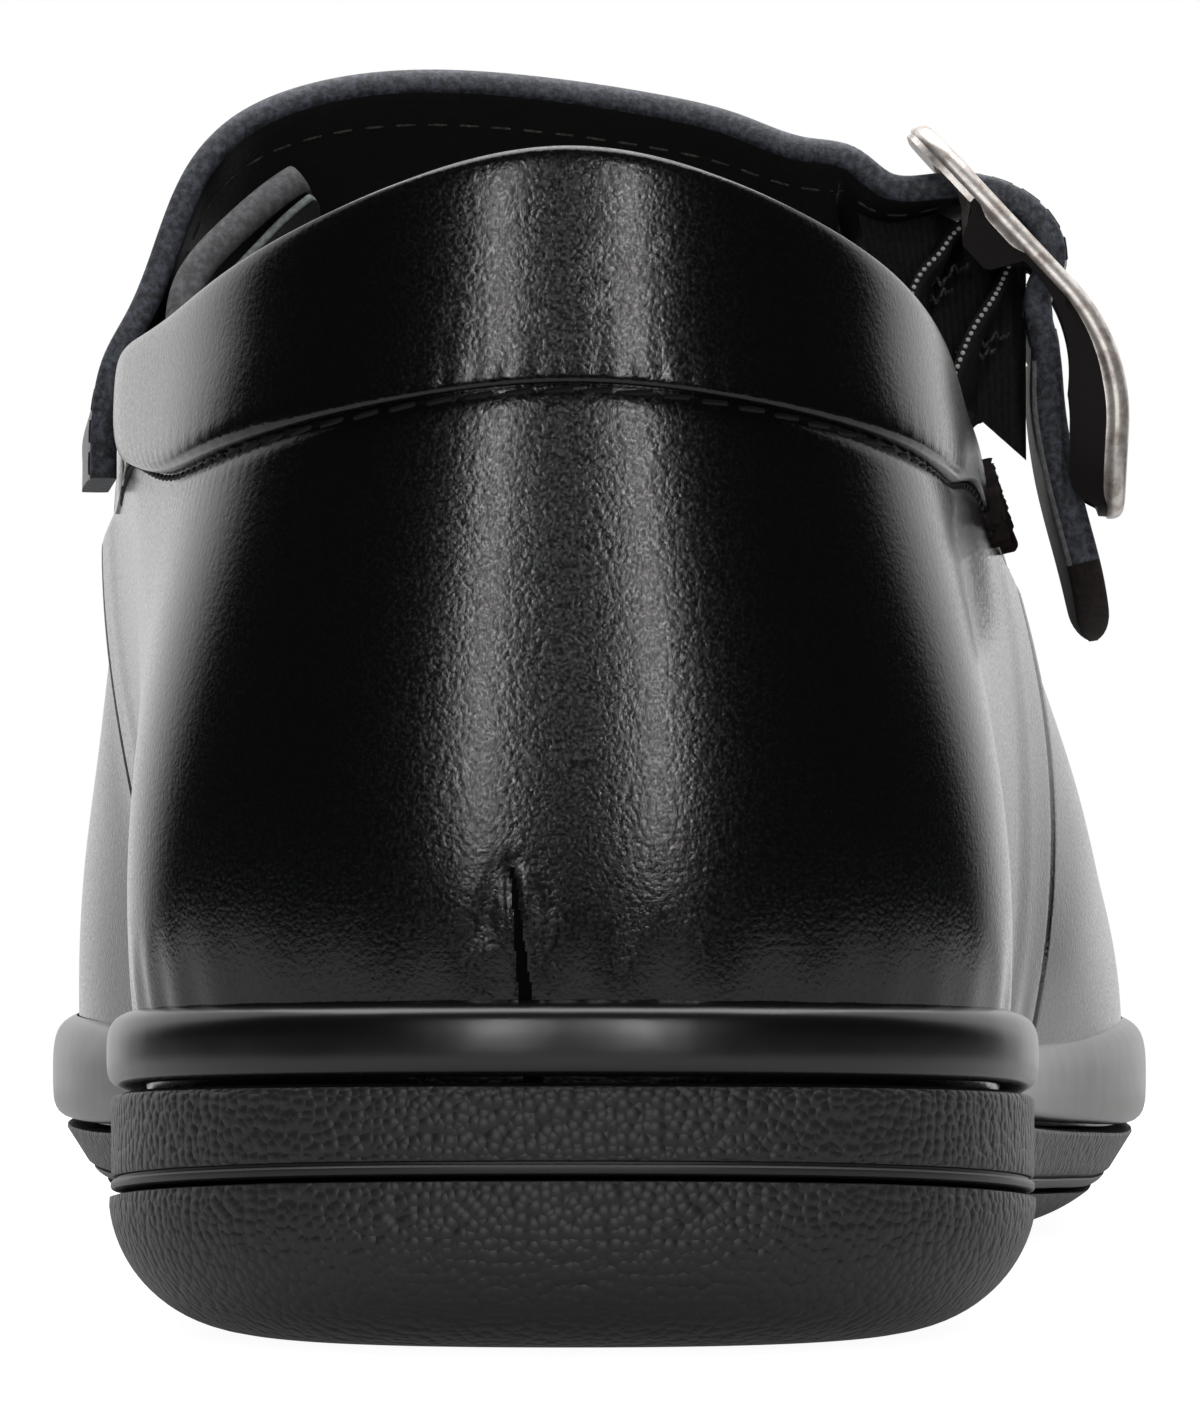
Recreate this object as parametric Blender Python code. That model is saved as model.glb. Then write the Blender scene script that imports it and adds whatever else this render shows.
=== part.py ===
"""Right-foot school shoe: black leather upper, instep strap with a bent buckle, moulded rubber sole.

The tables are in millimetres and the scene is in metres. The shoe is worked out with the back of its heel at
y = 0, the toe towards +Y, the outer side of the foot towards +X and the floor at z = 0. A parent empty then
carries it, so that the origin lies on the floor under the middle of the sole.
"""
import math

import bpy
import bmesh
import numpy as np

MM = 0.001

# Sole
SHOE_LENGTH = 246.0
TOE_TIP_X = -2.0
JOINT_GAP = 0.3
RAND_GAP = 0.45
SIDE_COUNT = 80

# Upper
UPPER_COUNT = 84
WALL = 2.2
QUARTER_STEP = 0.9
SEAM_FEATHER_Y = (104.0, 114.0)
SEAM_EDGE = 0.0012
COLLAR_PAD = 2.4
COLLAR_LINING = 1.6

# Insole
INSOLE_THICK = 3.2
INSOLE_ROUND = 1.0

# Strap, tab and elastic
STRAP_WIDTH = 19.0
STRAP_THICK = 2.0
STRAP_TIP = 7.0
STRAP_BASE_Y = (80.0, 99.0)
STRAP_BASE_LIFT = 0.7
TAB_Y = (76.0, 88.0)
TAB_THICK = 2.2
ELASTIC_WIDTH = 14.0
ELASTIC_THICK = 1.2
ELASTIC_Y = (82.0, 95.0)

# Buckle
BUCKLE_HALF_LENGTH = 17.3
BUCKLE_HALF_WIDTH = 13.8
BUCKLE_SQUARENESS = 7.0
BUCKLE_CENTRE = (37.6, 96.2, 73.1)
BUCKLE_DROOP = 0.5
BUCKLE_TOE_IN = -2.0
BUCKLE_BEND = (-0.4, 10.6)
BUCKLE_SLOPES = (47.0, 93.0)
RAIL_WIDTH = 3.0
RAIL_DEPTH = 3.3
RAIL_TOP_DEPTH = 0.7
RAIL_END_RELIEF = 0.57
BAR_RADIUS = 0.9
BAR_DROP = 2.3
BAR_ALONG = -7.0
ELASTIC_LOOP = (2.4, 1.8)
PRONG_RADIUS = 0.7
PRONG_SLOT = 2.6
PRONG_GROOVE = -0.45
FIT = 0.25

# Plan of the sole: y, half-widths on the outer and the inner side of the heel's centre line.
OUTLINE_COLUMNS = ("y", "outer", "inner")
OUTLINE = [
    (5.5, 20.6, -20.6),
    (16.0, 29.2, -29.0),
    (36.0, 33.1, -32.5),
    (62.0, 32.8, -30.6),
    (90.0, 33.4, -27.4),
    (116.0, 38.0, -29.8),
    (146.0, 44.9, -38.8),
    (168.0, 46.0, -42.1),
    (194.0, 42.9, -39.9),
    (217.0, 35.2, -33.8),
    (236.0, 21.6, -23.0),
]

# Heights along the sole: ground side, joint of outsole and midsole, seat of the upper, top of the rand; the
# rounding of the lower edge across (round) and up (rise); and how far in from the plan the upper stands.
HEIGHT_COLUMNS = ("y", "floor", "joint", "seat", "rand", "round", "rise", "inset")
HEIGHTS = [
    (0.0, 0.0, 12.0, 18.6, 23.8, 9.0, 9.6, 3.6),
    (30.0, 0.0, 9.3, 16.5, 21.8, 9.4, 9.4, 3.8),
    (62.0, 0.0, 7.1, 14.0, 19.4, 9.4, 8.8, 3.4),
    (72.0, 2.2, 6.6, 13.1, 18.6, 9.4, 8.4, 3.0),
    (92.0, 2.2, 5.9, 11.4, 17.2, 10.0, 8.2, 2.7),
    (126.0, 0.8, 4.1, 9.0, 16.2, 12.0, 9.6, 2.3),
    (150.0, 0.0, 3.1, 7.9, 16.0, 13.0, 11.2, 2.2),
    (182.0, 0.0, 3.0, 7.6, 15.6, 13.0, 11.0, 2.2),
    (215.0, 2.6, 5.6, 10.0, 17.2, 11.0, 9.4, 2.3),
    (246.0, 8.5, 11.3, 15.6, 21.9, 9.0, 7.4, 2.4),
]

# Sections of the upper round the foot, from the heel along the outer side to the toe and back. Each wall
# line leaves the seat at foot_y, ends at its top point and bends by two handles: their length and their lean
# from upright (the low one outwards, the high one inwards). collar is the share of the line below the collar
# seam and pad the collar's fullness there.
UPPER_COLUMNS = ("side", "foot_y", "top_x", "top_y", "top_z", "low", "low_lean", "high", "high_lean",
                 "collar", "pad")
UPPER = [
    (0, 0.0, 0.0, 7.5, 82.0, 20.0, 10.5, 20.0, 8.0, 0.74, 1.0),
    (1, 14.0, 18.8, 15.0, 75.2, 22.0, 16.0, 18.0, 4.0, 0.755, 1.0),
    (1, 36.0, 24.2, 35.0, 69.4, 19.0, 11.0, 16.0, 4.0, 0.8, 0.85),
    (1, 60.0, 26.6, 59.0, 64.8, 17.0, 7.0, 15.0, 6.0, 0.88, 0.6),
    (1, 80.0, 28.8, 79.0, 61.5, 16.0, 8.0, 14.0, 12.0, 0.92, 0.25),
    (1, 98.0, 31.0, 103.0, 57.0, 19.0, 14.0, 13.0, 19.0, 0.88, 0.0),
    (1, 114.0, 33.9, 131.0, 51.5, 22.5, 19.0, 14.0, 32.0, 0.88, 0.0),
    (1, 140.0, 27.5, 147.0, 51.3, 19.0, 11.0, 17.0, 46.0, 0.88, 0.0),
    (1, 165.0, 17.4, 154.5, 52.3, 20.0, 5.0, 24.0, 60.0, 0.88, 0.0),
    (1, 195.0, 9.0, 158.2, 53.5, 23.0, 1.0, 32.0, 66.0, 0.88, 0.0),
    (1, 222.0, 3.0, 159.7, 54.3, 26.0, 0.0, 38.0, 68.0, 0.88, 0.0),
    (0, 246.0, -3.0, 160.0, 54.7, 28.0, 0.0, 42.0, 68.0, 0.88, 0.0),
    (-1, 222.0, -9.0, 159.2, 55.1, 26.0, 0.0, 38.0, 67.0, 0.88, 0.0),
    (-1, 195.0, -15.5, 156.8, 55.7, 24.0, 1.0, 32.0, 64.0, 0.88, 0.0),
    (-1, 165.0, -24.2, 151.5, 56.5, 17.0, 1.5, 24.0, 52.0, 0.88, 0.0),
    (-1, 140.0, -31.8, 140.5, 57.7, 18.0, 2.0, 18.0, 32.0, 0.88, 0.0),
    (-1, 114.0, -35.3, 124.0, 59.3, 20.0, 14.0, 15.0, 16.0, 0.88, 0.0),
    (-1, 98.0, -33.5, 105.0, 62.1, 20.0, 14.0, 15.0, 12.0, 0.88, 0.0),
    (-1, 80.0, -31.9, 83.0, 65.7, 19.0, 13.0, 15.0, 4.5, 0.88, 0.1),
    (-1, 60.0, -30.0, 61.0, 68.7, 18.0, 9.0, 16.0, 3.0, 0.84, 0.85),
    (-1, 36.0, -26.0, 36.0, 70.9, 19.0, 12.0, 16.0, 3.0, 0.78, 1.0),
    (-1, 14.0, -19.6, 15.0, 75.3, 22.0, 16.0, 18.0, 4.0, 0.75, 1.0),
]

# Rear edge of the strap once it has left the upper, from the inner side over the instep to the buckle:
# place, and the strap's droop towards the toe and turn towards the foot in degrees.
BAND_COLUMNS = ("x", "y", "z", "droop", "toe_in")
STRAP = [
    (-33.9, 83.2, 68.35, 6.0, -3.0),
    (-32.3, 83.9, 71.45, 8.0, -2.0),
    (-29.9, 85.6, 77.65, 15.0, -1.0),
    (-27.4, 87.2, 83.35, 22.0, 0.0),
    (-24.9, 88.4, 86.05, 26.0, 0.0),
    (-19.9, 89.8, 88.45, 29.0, 0.0),
    (-11.2, 91.0, 89.7, 31.0, 0.0),
    (-3.0, 91.2, 89.25, 31.0, 0.0),
    (6.5, 90.2, 87.8, 29.0, 1.0),
    (12.5, 89.2, 86.25, 27.0, 2.0),
    (17.6, 88.0, 84.45, 24.0, 2.0),
]

# The strap through the buckle: run along the buckle and lift off its middle surface at the rear edge, and
# the droop there.
THROUGH_COLUMNS = ("along", "lift", "droop")
THROUGH = [
    (-19.0, -4.8, 25.0),
    (-15.6, -4.2, 16.0),
    (-12.4, -1.0, 5.0),
    (-9.4, 1.4, 2.0),
    (-5.8, 2.2, 0.5),
    (-3.0, 1.0, 0.5),
    (-1.9, -1.4, 0.5),
]

# Rear edge of the strap's tail inside and below the buckle.
TAIL = [
    (35.35, 86.0, 69.85, 1.0, -1.0),
    (35.65, 86.0, 65.65, 1.0, 0.5),
    (36.35, 85.9, 61.05, 1.0, 2.0),
    (37.55, 85.8, 56.15, 1.0, 2.5),
    (38.45, 85.7, 52.75, 1.0, 2.5),
    (39.05, 85.6, 49.85, 1.0, 2.5),
    (39.45, 85.6, 47.35, 1.0, 2.5),
]

# Rear edge of the elastic between the bar and the inside of the outer topline: the long inner ply, then the
# short outer ply.
ELASTIC_INNER = [
    (27.65, 88.2, 76.55, 3.0, -9.0),
    (26.25, 87.4, 75.0, 3.0, -16.0),
    (25.2, 86.2, 72.15, 3.0, -22.0),
    (24.5, 84.8, 68.05, 3.0, -16.0),
]
ELASTIC_OUTER = [
    (31.75, 88.0, 73.35, 2.0, -5.0),
    (30.25, 86.6, 71.1, 2.0, -11.0),
    (28.8, 85.4, 67.75, 2.0, -12.0),
    (27.5, 84.6, 64.65, 2.0, -8.0),
]

# The prong's pin in the buckle's middle plane, from its hook up over the strap to the frame's end: run along
# the buckle and lift.
PRONG_PIN = [
    (-9.6, -0.9),
    (-11.0, 0.3),
    (-12.8, 0.65),
    (-14.6, 0.55),
    (-16.6, 0.5),
]

# Rear edge of the tab above the inner topline.
TAB = [
    (-28.4, 82.5, 74.05, 8.0, 0.0),
    (-25.0, 85.0, 78.45, 14.0, 0.0),
    (-21.0, 87.0, 81.85, 18.0, 0.0),
    (-19.4, 87.8, 82.85, 20.0, 0.0),
]


def columns(names, rows):
    """Give a table as one array for each named column."""
    return dict(zip(names, np.array(rows, float).T))


def spline(knots, values, at, period=None):
    """Cubic spline through values at rising knots: natural ends, or periodic when a period is given."""
    knots = np.asarray(knots, float)
    values = np.asarray(values, float).reshape(len(knots), -1)
    at = np.asarray(at, float)
    if period is not None:
        knots = np.append(knots, knots[0] + period)
        values = np.vstack([values, values[:1]])
        at = (at - knots[0]) % period + knots[0]
    count = len(knots)
    gaps = np.diff(knots)
    rise = np.diff(values, axis=0) / gaps[:, None]
    system = np.eye(count)
    target = np.zeros_like(values)
    for i in range(1, count - 1):
        system[i, i - 1:i + 2] = gaps[i - 1], 2 * (gaps[i - 1] + gaps[i]), gaps[i]
        target[i] = 6 * (rise[i] - rise[i - 1])
    if period is not None:
        system[0, [0, 1, -2, -1]] = 2 * gaps[0], gaps[0], gaps[-1], 2 * gaps[-1]
        target[0] = 6 * (rise[0] - rise[-1])
        system[-1, [0, -1]] = 1, -1
    bend = np.linalg.solve(system, target)
    cell = np.clip(np.searchsorted(knots, at, side="right") - 1, 0, count - 2)
    right = ((at - knots[cell]) / gaps[cell])[..., None]
    left = 1 - right
    curve = (left ** 3 - left) * bend[cell] + (right ** 3 - right) * bend[cell + 1]
    return left * values[cell] + right * values[cell + 1] + curve * gaps[cell][..., None] ** 2 / 6


def steady(knots, values, at):
    """Cubic through rows that never overshoots them, so that a flat stretch stays flat."""
    gaps = np.diff(knots)
    rise = np.diff(values) / gaps
    slope = np.zeros(len(knots))
    same = rise[:-1] * rise[1:] > 0
    slope[1:-1][same] = 2 * rise[:-1][same] * rise[1:][same] / (rise[:-1] + rise[1:])[same]
    slope[0] = rise[0]
    slope[-1] = rise[-1]
    cell = np.clip(np.searchsorted(knots, at, side="right") - 1, 0, len(gaps) - 1)
    t = np.clip((at - knots[cell]) / gaps[cell], 0, 1)
    span = gaps[cell]
    low = (1 + 2 * t) * (1 - t) ** 2 * values[cell] + t * (1 - t) ** 2 * span * slope[cell]
    high = t * t * (3 - 2 * t) * values[cell + 1] + t * t * (t - 1) * span * slope[cell + 1]
    return low + high


def unit(vectors):
    """Scale vectors to length one."""
    return vectors / np.linalg.norm(vectors, axis=-1, keepdims=True)


class Plan:
    """Closed plan curve of the sole, read by u: 0 at the heel, 0.5 at the toe, the outer side in between."""

    def __init__(self):
        table = columns(OUTLINE_COLUMNS, OUTLINE)
        outer = np.column_stack([table["outer"], table["y"]])
        inner = np.column_stack([table["inner"], table["y"]])
        ends = np.array([[0.0, 0.0]]), np.array([[TOE_TIP_X, SHOE_LENGTH]])
        points = np.vstack([ends[0], outer, ends[1], inner[::-1]])
        steps = np.linalg.norm(np.roll(points, -1, axis=0) - points, axis=1)
        knots = np.append(0, np.cumsum(steps)[:-1])
        dense = np.linspace(0, steps.sum(), 4001)
        self.curve = spline(knots, points, dense, steps.sum())
        run = np.append(0, np.cumsum(np.linalg.norm(np.diff(self.curve, axis=0), axis=1)))
        toe = np.interp(knots[len(OUTLINE) + 1], dense, run)
        self.u = np.where(run <= toe, 0.5 * run / toe, 0.5 + 0.5 * (run - toe) / (run[-1] - toe))
        along = unit(np.gradient(self.curve, axis=0))
        self.out = np.column_stack([along[:, 1], -along[:, 0]])

    def at(self, u, inset=0.0):
        """Points at u, moved inwards by inset."""
        u = np.mod(u, 1.0)
        place = np.column_stack([np.interp(u, self.u, self.curve[:, k]) for k in (0, 1)])
        return place - np.reshape(inset, (-1, 1)) * self.outward(u)

    def outward(self, u):
        """Unit vectors that point out of the plan at u."""
        u = np.mod(u, 1.0)
        return unit(np.column_stack([np.interp(u, self.u, self.out[:, k]) for k in (0, 1)]))

    def find(self, side, y):
        """Parameter u of the plan's point at y, on the outer (1) or inner (-1) side or at an end (0)."""
        if side == 0:
            return 0.0 if y < SHOE_LENGTH / 2 else 0.5
        half = self.u <= 0.5 if side > 0 else self.u >= 0.5
        order = np.argsort(self.curve[half, 1])
        return float(np.interp(y, self.curve[half, 1][order], self.u[half][order]))


PLAN = Plan()
LEVELS = columns(HEIGHT_COLUMNS, HEIGHTS)


def level(name, y):
    """Height or rounding of the named column at y."""
    return steady(LEVELS["y"], LEVELS[name], np.asarray(y, float))


class Upper:
    """Outer face of the upper by u round the foot and v from the seat (0) to the topline (1)."""

    def __init__(self):
        table = columns(UPPER_COLUMNS, UPPER)
        self.knots = [PLAN.find(side, y) for side, y in zip(table["side"], table["foot_y"])]
        self.rows = np.column_stack([table[name] for name in UPPER_COLUMNS[2:]])
        self.seam_outer = PLAN.find(1, SEAM_FEATHER_Y[0])
        self.seam_inner = PLAN.find(-1, SEAM_FEATHER_Y[1])

    def section(self, u):
        """Named section values at u."""
        return dict(zip(UPPER_COLUMNS[2:], spline(self.knots, self.rows, np.mod(u, 1.0), 1.0).T))

    def handles(self, u):
        """The four points that bend each wall line."""
        row = self.section(u)
        foot = PLAN.at(u, level("inset", PLAN.at(u)[:, 1]))
        out = PLAN.outward(u)
        start = np.column_stack([foot, level("seat", foot[:, 1]) + JOINT_GAP])
        top = np.column_stack([row["top_x"], row["top_y"], row["top_z"]])
        inward = unit((top - start)[:, :2] - 12.0 * out)
        low_lean = np.radians(row["low_lean"])
        high_lean = np.radians(row["high_lean"])
        low = np.column_stack([out * np.sin(low_lean)[:, None], np.cos(low_lean)])
        high = np.column_stack([inward * np.sin(high_lean)[:, None], np.cos(high_lean)])
        return start, start + low * row["low"][:, None], top - high * row["high"][:, None], top

    def face(self, u, v):
        """Points of the face at equal-length arrays u and v."""
        a, b, c, d = self.handles(u)
        v = v[:, None]
        w = 1 - v
        return w ** 3 * a + 3 * w * w * v * b + 3 * w * v * v * c + v ** 3 * d

    def point(self, u, v, lift=0.0):
        """Points at u and v, lifted off the face along its outward normal."""
        u, v, lift = (np.ravel(x) for x in np.broadcast_arrays(u, v, lift))
        step = 0.002
        around = self.face(u + step, v) - self.face(u - step, v)
        up = self.face(u, v + step) - self.face(u, v - step)
        return self.face(u, v) + lift[:, None] * unit(np.cross(around, up))

    def height(self, u, z):
        """Parameter v at which the wall line at u reaches height z, found by Newton steps."""
        v = np.full(len(u), 0.1)
        for _ in range(8):
            slope = (self.face(u, v + 0.001) - self.face(u, v - 0.001))[:, 2] / 0.002
            v = v - (self.face(u, v)[:, 2] - z) / slope
        return v

    def quarter(self, u):
        """One on the quarters, zero on the vamp, changing across a narrow edge at the seam."""
        rear = np.clip((self.seam_outer - u) / SEAM_EDGE + 0.5, 0, 1)
        return rear + np.clip((u - self.seam_inner) / SEAM_EDGE + 0.5, 0, 1)


UPPER_FACE = Upper()


def material(name, colour, roughness, metallic=0.0):
    """Principled material with a plain colour."""
    made = bpy.data.materials.new(name)
    made.use_nodes = True
    shader = made.node_tree.nodes["Principled BSDF"]
    shader.inputs["Base Color"].default_value = (*colour, 1.0)
    shader.inputs["Roughness"].default_value = roughness
    shader.inputs["Metallic"].default_value = metallic
    return made


def add_object(name, mesh, finish, home):
    """Put a mesh in the scene as a named part with its material."""
    made = bpy.data.objects.new(name, mesh)
    mesh.materials.append(finish)
    home.objects.link(made)
    return made


def loft(name, rings, around=False, caps=None):
    """Mesh with quads between neighbouring rings of equal count.

    around also joins the last ring to the first. caps closes both ends: "fan" by one face each, "pairs" by
    strips from side to side of a plan ring.
    """
    rings = [np.asarray(ring) * MM for ring in rings]
    count = len(rings[0])
    made = bmesh.new()
    rows = [[made.verts.new(point) for point in ring] for ring in rings]
    pairs = list(zip(rows, rows[1:]))
    if around:
        pairs.append((rows[-1], rows[0]))
    for low, high in pairs:
        for i in range(count):
            k = (i + 1) % count
            made.faces.new((low[i], low[k], high[k], high[i]))
    if caps:
        for row in (rows[0][::-1], rows[-1]):
            close_ring(made, row, caps)
    bmesh.ops.recalc_face_normals(made, faces=made.faces)
    mesh = bpy.data.meshes.new(name)
    made.to_mesh(mesh)
    made.free()
    return mesh


def close_ring(made, row, style):
    """Close one end ring of a loft."""
    if style == "fan":
        made.faces.new(row)
        return
    count = len(row)
    half = count // 2
    shift = 0 if row[0].co.y < row[half].co.y else count - 1
    line = [row[(shift + i) % count] for i in range(count)]
    made.faces.new((line[0], line[1], line[-1]))
    for i in range(1, half - 1):
        made.faces.new((line[i], line[i + 1], line[-i - 1], line[-i]))
    made.faces.new((line[half - 1], line[half], line[half + 1]))


def sole_inset(y, height):
    """How far the rounded lower edge stands in from the plan at a height above the ground side."""
    part = np.clip(1 - height / level("rise", y), 0, 1)
    return level("round", y) * (1 - np.sqrt(1 - part ** 2))


def sole_ring(u, height, extra, base):
    """Plan ring at a height above the named level, following the rounded edge and a further inset."""
    y = PLAN.at(u)[:, 1]
    above = level(base, y) - level("floor", y) + height
    place = PLAN.at(u, sole_inset(y, above) + extra)
    floor = level("floor", place[:, 1])
    rise = np.where(above > 0, level(base, place[:, 1]) - floor + height, 0.0)
    return np.column_stack([place, floor + rise])


def build_outsole(finish, home):
    """Ground rubber: flat treads, rounded edge, up to the joint with the midsole."""
    u = np.arange(SIDE_COUNT) / SIDE_COUNT
    y = PLAN.at(u)[:, 1]
    full = level("joint", y) - level("floor", y)
    shares = (0.0, 0.025, 0.1, 0.22, 0.4, 0.65, 0.93)
    rings = [sole_ring(u, share * full, 0.0, "floor") for share in shares]
    rings.append(sole_ring(u, 0.0, 0.5, "joint"))
    return add_object("outsole", loft("outsole", rings, caps="pairs"), finish, home)


def build_midsole(finish, home):
    """Pebbled wedge: a bead along its lower edge, a recessed band above it."""
    u = np.arange(SIDE_COUNT) / SIDE_COUNT
    bead = ((JOINT_GAP, 0.7), (0.55, 0.0), (1.25, 0.0), (1.55, 0.5))
    rings = [sole_ring(u, height, extra, "joint") for height, extra in bead]
    rings.append(sole_ring(u, -0.6, 0.5, "seat"))
    rings.append(sole_ring(u, 0.0, 1.0, "seat"))
    return add_object("midsole", loft("midsole", rings, caps="pairs"), finish, home)


def build_rand(finish, home):
    """Rounded band on the midsole's edge; its inner side follows the foot of the upper."""
    u = np.arange(SIDE_COUNT) / SIDE_COUNT
    y = PLAN.at(u)[:, 1]
    tall = level("rand", y) - level("seat", y)
    swell = ((0.0, 0.8), (0.1, 0.1), (0.3, -0.1), (0.66, -0.1), (0.86, 0.3), (0.96, 1.1))
    rings = []
    for share, inset in swell:
        place = PLAN.at(u, inset)
        rings.append(np.column_stack([place, level("seat", place[:, 1]) + RAND_GAP + share * tall]))
    foot = UPPER_FACE.handles(u)[0][:, 2]
    for share in (1.0, 0.55, 0.1):
        v = UPPER_FACE.height(u, foot + share * tall)
        lift = JOINT_GAP + QUARTER_STEP * UPPER_FACE.quarter(u)
        rings.append(UPPER_FACE.point(u, v, lift))
    return add_object("rand", loft("rand", rings, around=True), finish, home)


def build_insole(finish, home):
    """Sock that fills the floor inside the upper."""
    u = np.arange(SIDE_COUNT) / SIDE_COUNT
    edge = level("inset", PLAN.at(u)[:, 1]) + WALL + JOINT_GAP + FIT
    shape = ((JOINT_GAP, 0.0), (INSOLE_THICK - INSOLE_ROUND, 0.0), (INSOLE_THICK, INSOLE_ROUND))
    rings = []
    for height, extra in shape:
        place = PLAN.at(u, edge + extra)
        rings.append(np.column_stack([place, level("seat", place[:, 1]) + height]))
    return add_object("insole", loft("insole", rings, caps="pairs"), finish, home)


def build_upper(finish, home):
    """Hollow wall: outer face with the quarters' step and the padded collar, rounded rim, inner face."""
    seams = UPPER_FACE.seam_outer, UPPER_FACE.seam_inner
    edges = [seam + side * SEAM_EDGE / 2 for seam in seams for side in (-1, 1)]
    even = np.arange(UPPER_COUNT) / UPPER_COUNT
    clear = np.min(np.abs(even[:, None] - np.array(seams)), axis=1) > 0.003
    u = np.sort(np.append(even[clear], edges))
    row = UPPER_FACE.section(u)
    seam = row["collar"]
    pad = np.clip(row["pad"], 0, 1)
    step = QUARTER_STEP * UPPER_FACE.quarter(u)
    rings = []
    for share in (0.0, 0.08, 0.17, 0.28, 0.4, 0.53, 0.67, 0.82, 0.97):
        rings.append(UPPER_FACE.point(u, share * seam, step))
    for share in (0.03, 0.14, 0.32, 0.55, 0.78, 0.94):
        swell = pad * math.sqrt(4 * share * (1 - share))
        rings.append(UPPER_FACE.point(u, seam + share * (1 - seam), step + COLLAR_PAD * swell))
    rings.append(UPPER_FACE.point(u, 1.0, step - 0.3))
    rings.append(UPPER_FACE.point(u, 1.0, 0.3 - WALL))
    for share in (0.85, 0.5, 0.15):
        swell = pad * math.sqrt(4 * share * (1 - share))
        rings.append(UPPER_FACE.point(u, seam + share * (1 - seam), -WALL - COLLAR_LINING * swell))
    for share in (0.9, 0.7, 0.5, 0.3, 0.14, 0.0):
        rings.append(UPPER_FACE.point(u, share * seam, -WALL))
    return add_object("upper", loft("upper", rings, around=True), finish, home)


def spread(droop, toe_in):
    """Unit vector across a band: towards the toe, drooping, and turned towards the foot."""
    droop = np.radians(droop)
    toe_in = np.radians(toe_in)
    return np.column_stack([-np.sin(toe_in) * np.cos(droop), np.cos(toe_in) * np.cos(droop), -np.sin(droop)])


def on_upper(side, band, shares, lift):
    """Rear points on the upper's wall at the given shares of its height, and vectors across the band."""
    shares = np.asarray(shares)
    rear = UPPER_FACE.point(PLAN.find(side, band[0]), shares, lift)
    front = UPPER_FACE.point(PLAN.find(side, band[1]), shares, lift)
    return rear, unit(front - rear)


def band_mesh(name, rear, across, width, thick, count, tip=0.0):
    """Flat band along a rear edge, with chamfered corners and, when tip is given, a rounded far end."""
    run = np.append(0, np.cumsum(np.linalg.norm(np.diff(rear, axis=0), axis=1)))
    at = np.linspace(0, run[-1] - tip, count)
    if tip:
        at = np.append(at, run[-1] - tip + tip * np.sin(np.linspace(0, math.pi / 2, 6))[1:])
    path = spline(run, rear, at)
    along = unit(np.gradient(path, at, axis=0))
    across = spline(run, across, at)
    across = unit(across - np.sum(across * along, axis=1)[:, None] * along)
    normal = np.cross(along, across)
    half = np.full(len(at), width / 2)
    if tip:
        past = np.clip((at - run[-1] + tip) / tip, 0, 0.995)
        half = half * np.sqrt(1 - past ** 2)
    centre = path + across * width / 2
    cut = 0.3 * thick
    front = ((1, 1, 0), (1, 1, 1), (1, -1, 1), (1, -1, 0))
    back = ((-1, -1, 0), (-1, -1, 1), (-1, 1, 1), (-1, 1, 0))
    rings = []
    for k in range(len(at)):
        ring = []
        for side, face, trim in front + back:
            out = half[k] - (0.0 if trim else min(cut, 0.4 * half[k]))
            up = thick / 2 - (cut if trim else 0.0)
            ring.append(centre[k] + side * out * across[k] + face * up * normal[k])
        rings.append(ring)
    return loft(name, rings, caps="fan")


def band_rows(rows):
    """Rear points and vectors across of a band's table."""
    table = columns(BAND_COLUMNS, rows)
    return np.column_stack([table["x"], table["y"], table["z"]]), spread(table["droop"], table["toe_in"])


class Buckle:
    """Bent plane of the buckle: straight along the strap's fall, then turned down over a short bend."""

    def __init__(self):
        self.centre = np.array(BUCKLE_CENTRE)
        self.across = spread(np.array([BUCKLE_DROOP]), np.array([BUCKLE_TOE_IN]))[0]
        sideways = np.array([1.0, 0.0, 0.0])
        self.flat = unit(sideways - (sideways @ self.across) * self.across)
        self.rise = np.cross(self.flat, self.across)
        self.run = np.linspace(-30.0, 30.0, 601)
        self.slope = np.radians(np.interp(self.run, BUCKLE_BEND, BUCKLE_SLOPES))
        ahead = np.cumsum(np.cos(self.slope)) * 0.1
        fall = np.cumsum(np.sin(self.slope)) * 0.1
        self.ahead = ahead - ahead[300]
        self.fall = fall - fall[300]

    def at(self, along, side, lift):
        """Points at a run along the bend, a place across and a lift off its middle surface."""
        slope = np.interp(along, self.run, self.slope)
        ahead = np.interp(along, self.run, self.ahead) + lift * np.sin(slope)
        fall = np.interp(along, self.run, self.fall) - lift * np.cos(slope)
        place = self.centre + ahead[..., None] * self.flat - fall[..., None] * self.rise
        return place + np.asarray(side)[..., None] * self.across


BUCKLE = Buckle()


def through_buckle():
    """Rear points and vectors across of the strap inside the buckle."""
    table = columns(THROUGH_COLUMNS, THROUGH)
    side = np.full(len(THROUGH), -STRAP_WIDTH / 2)
    across = spread(table["droop"], np.full(len(THROUGH), BUCKLE_TOE_IN))
    return BUCKLE.at(table["along"], side, table["lift"]), across


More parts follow.
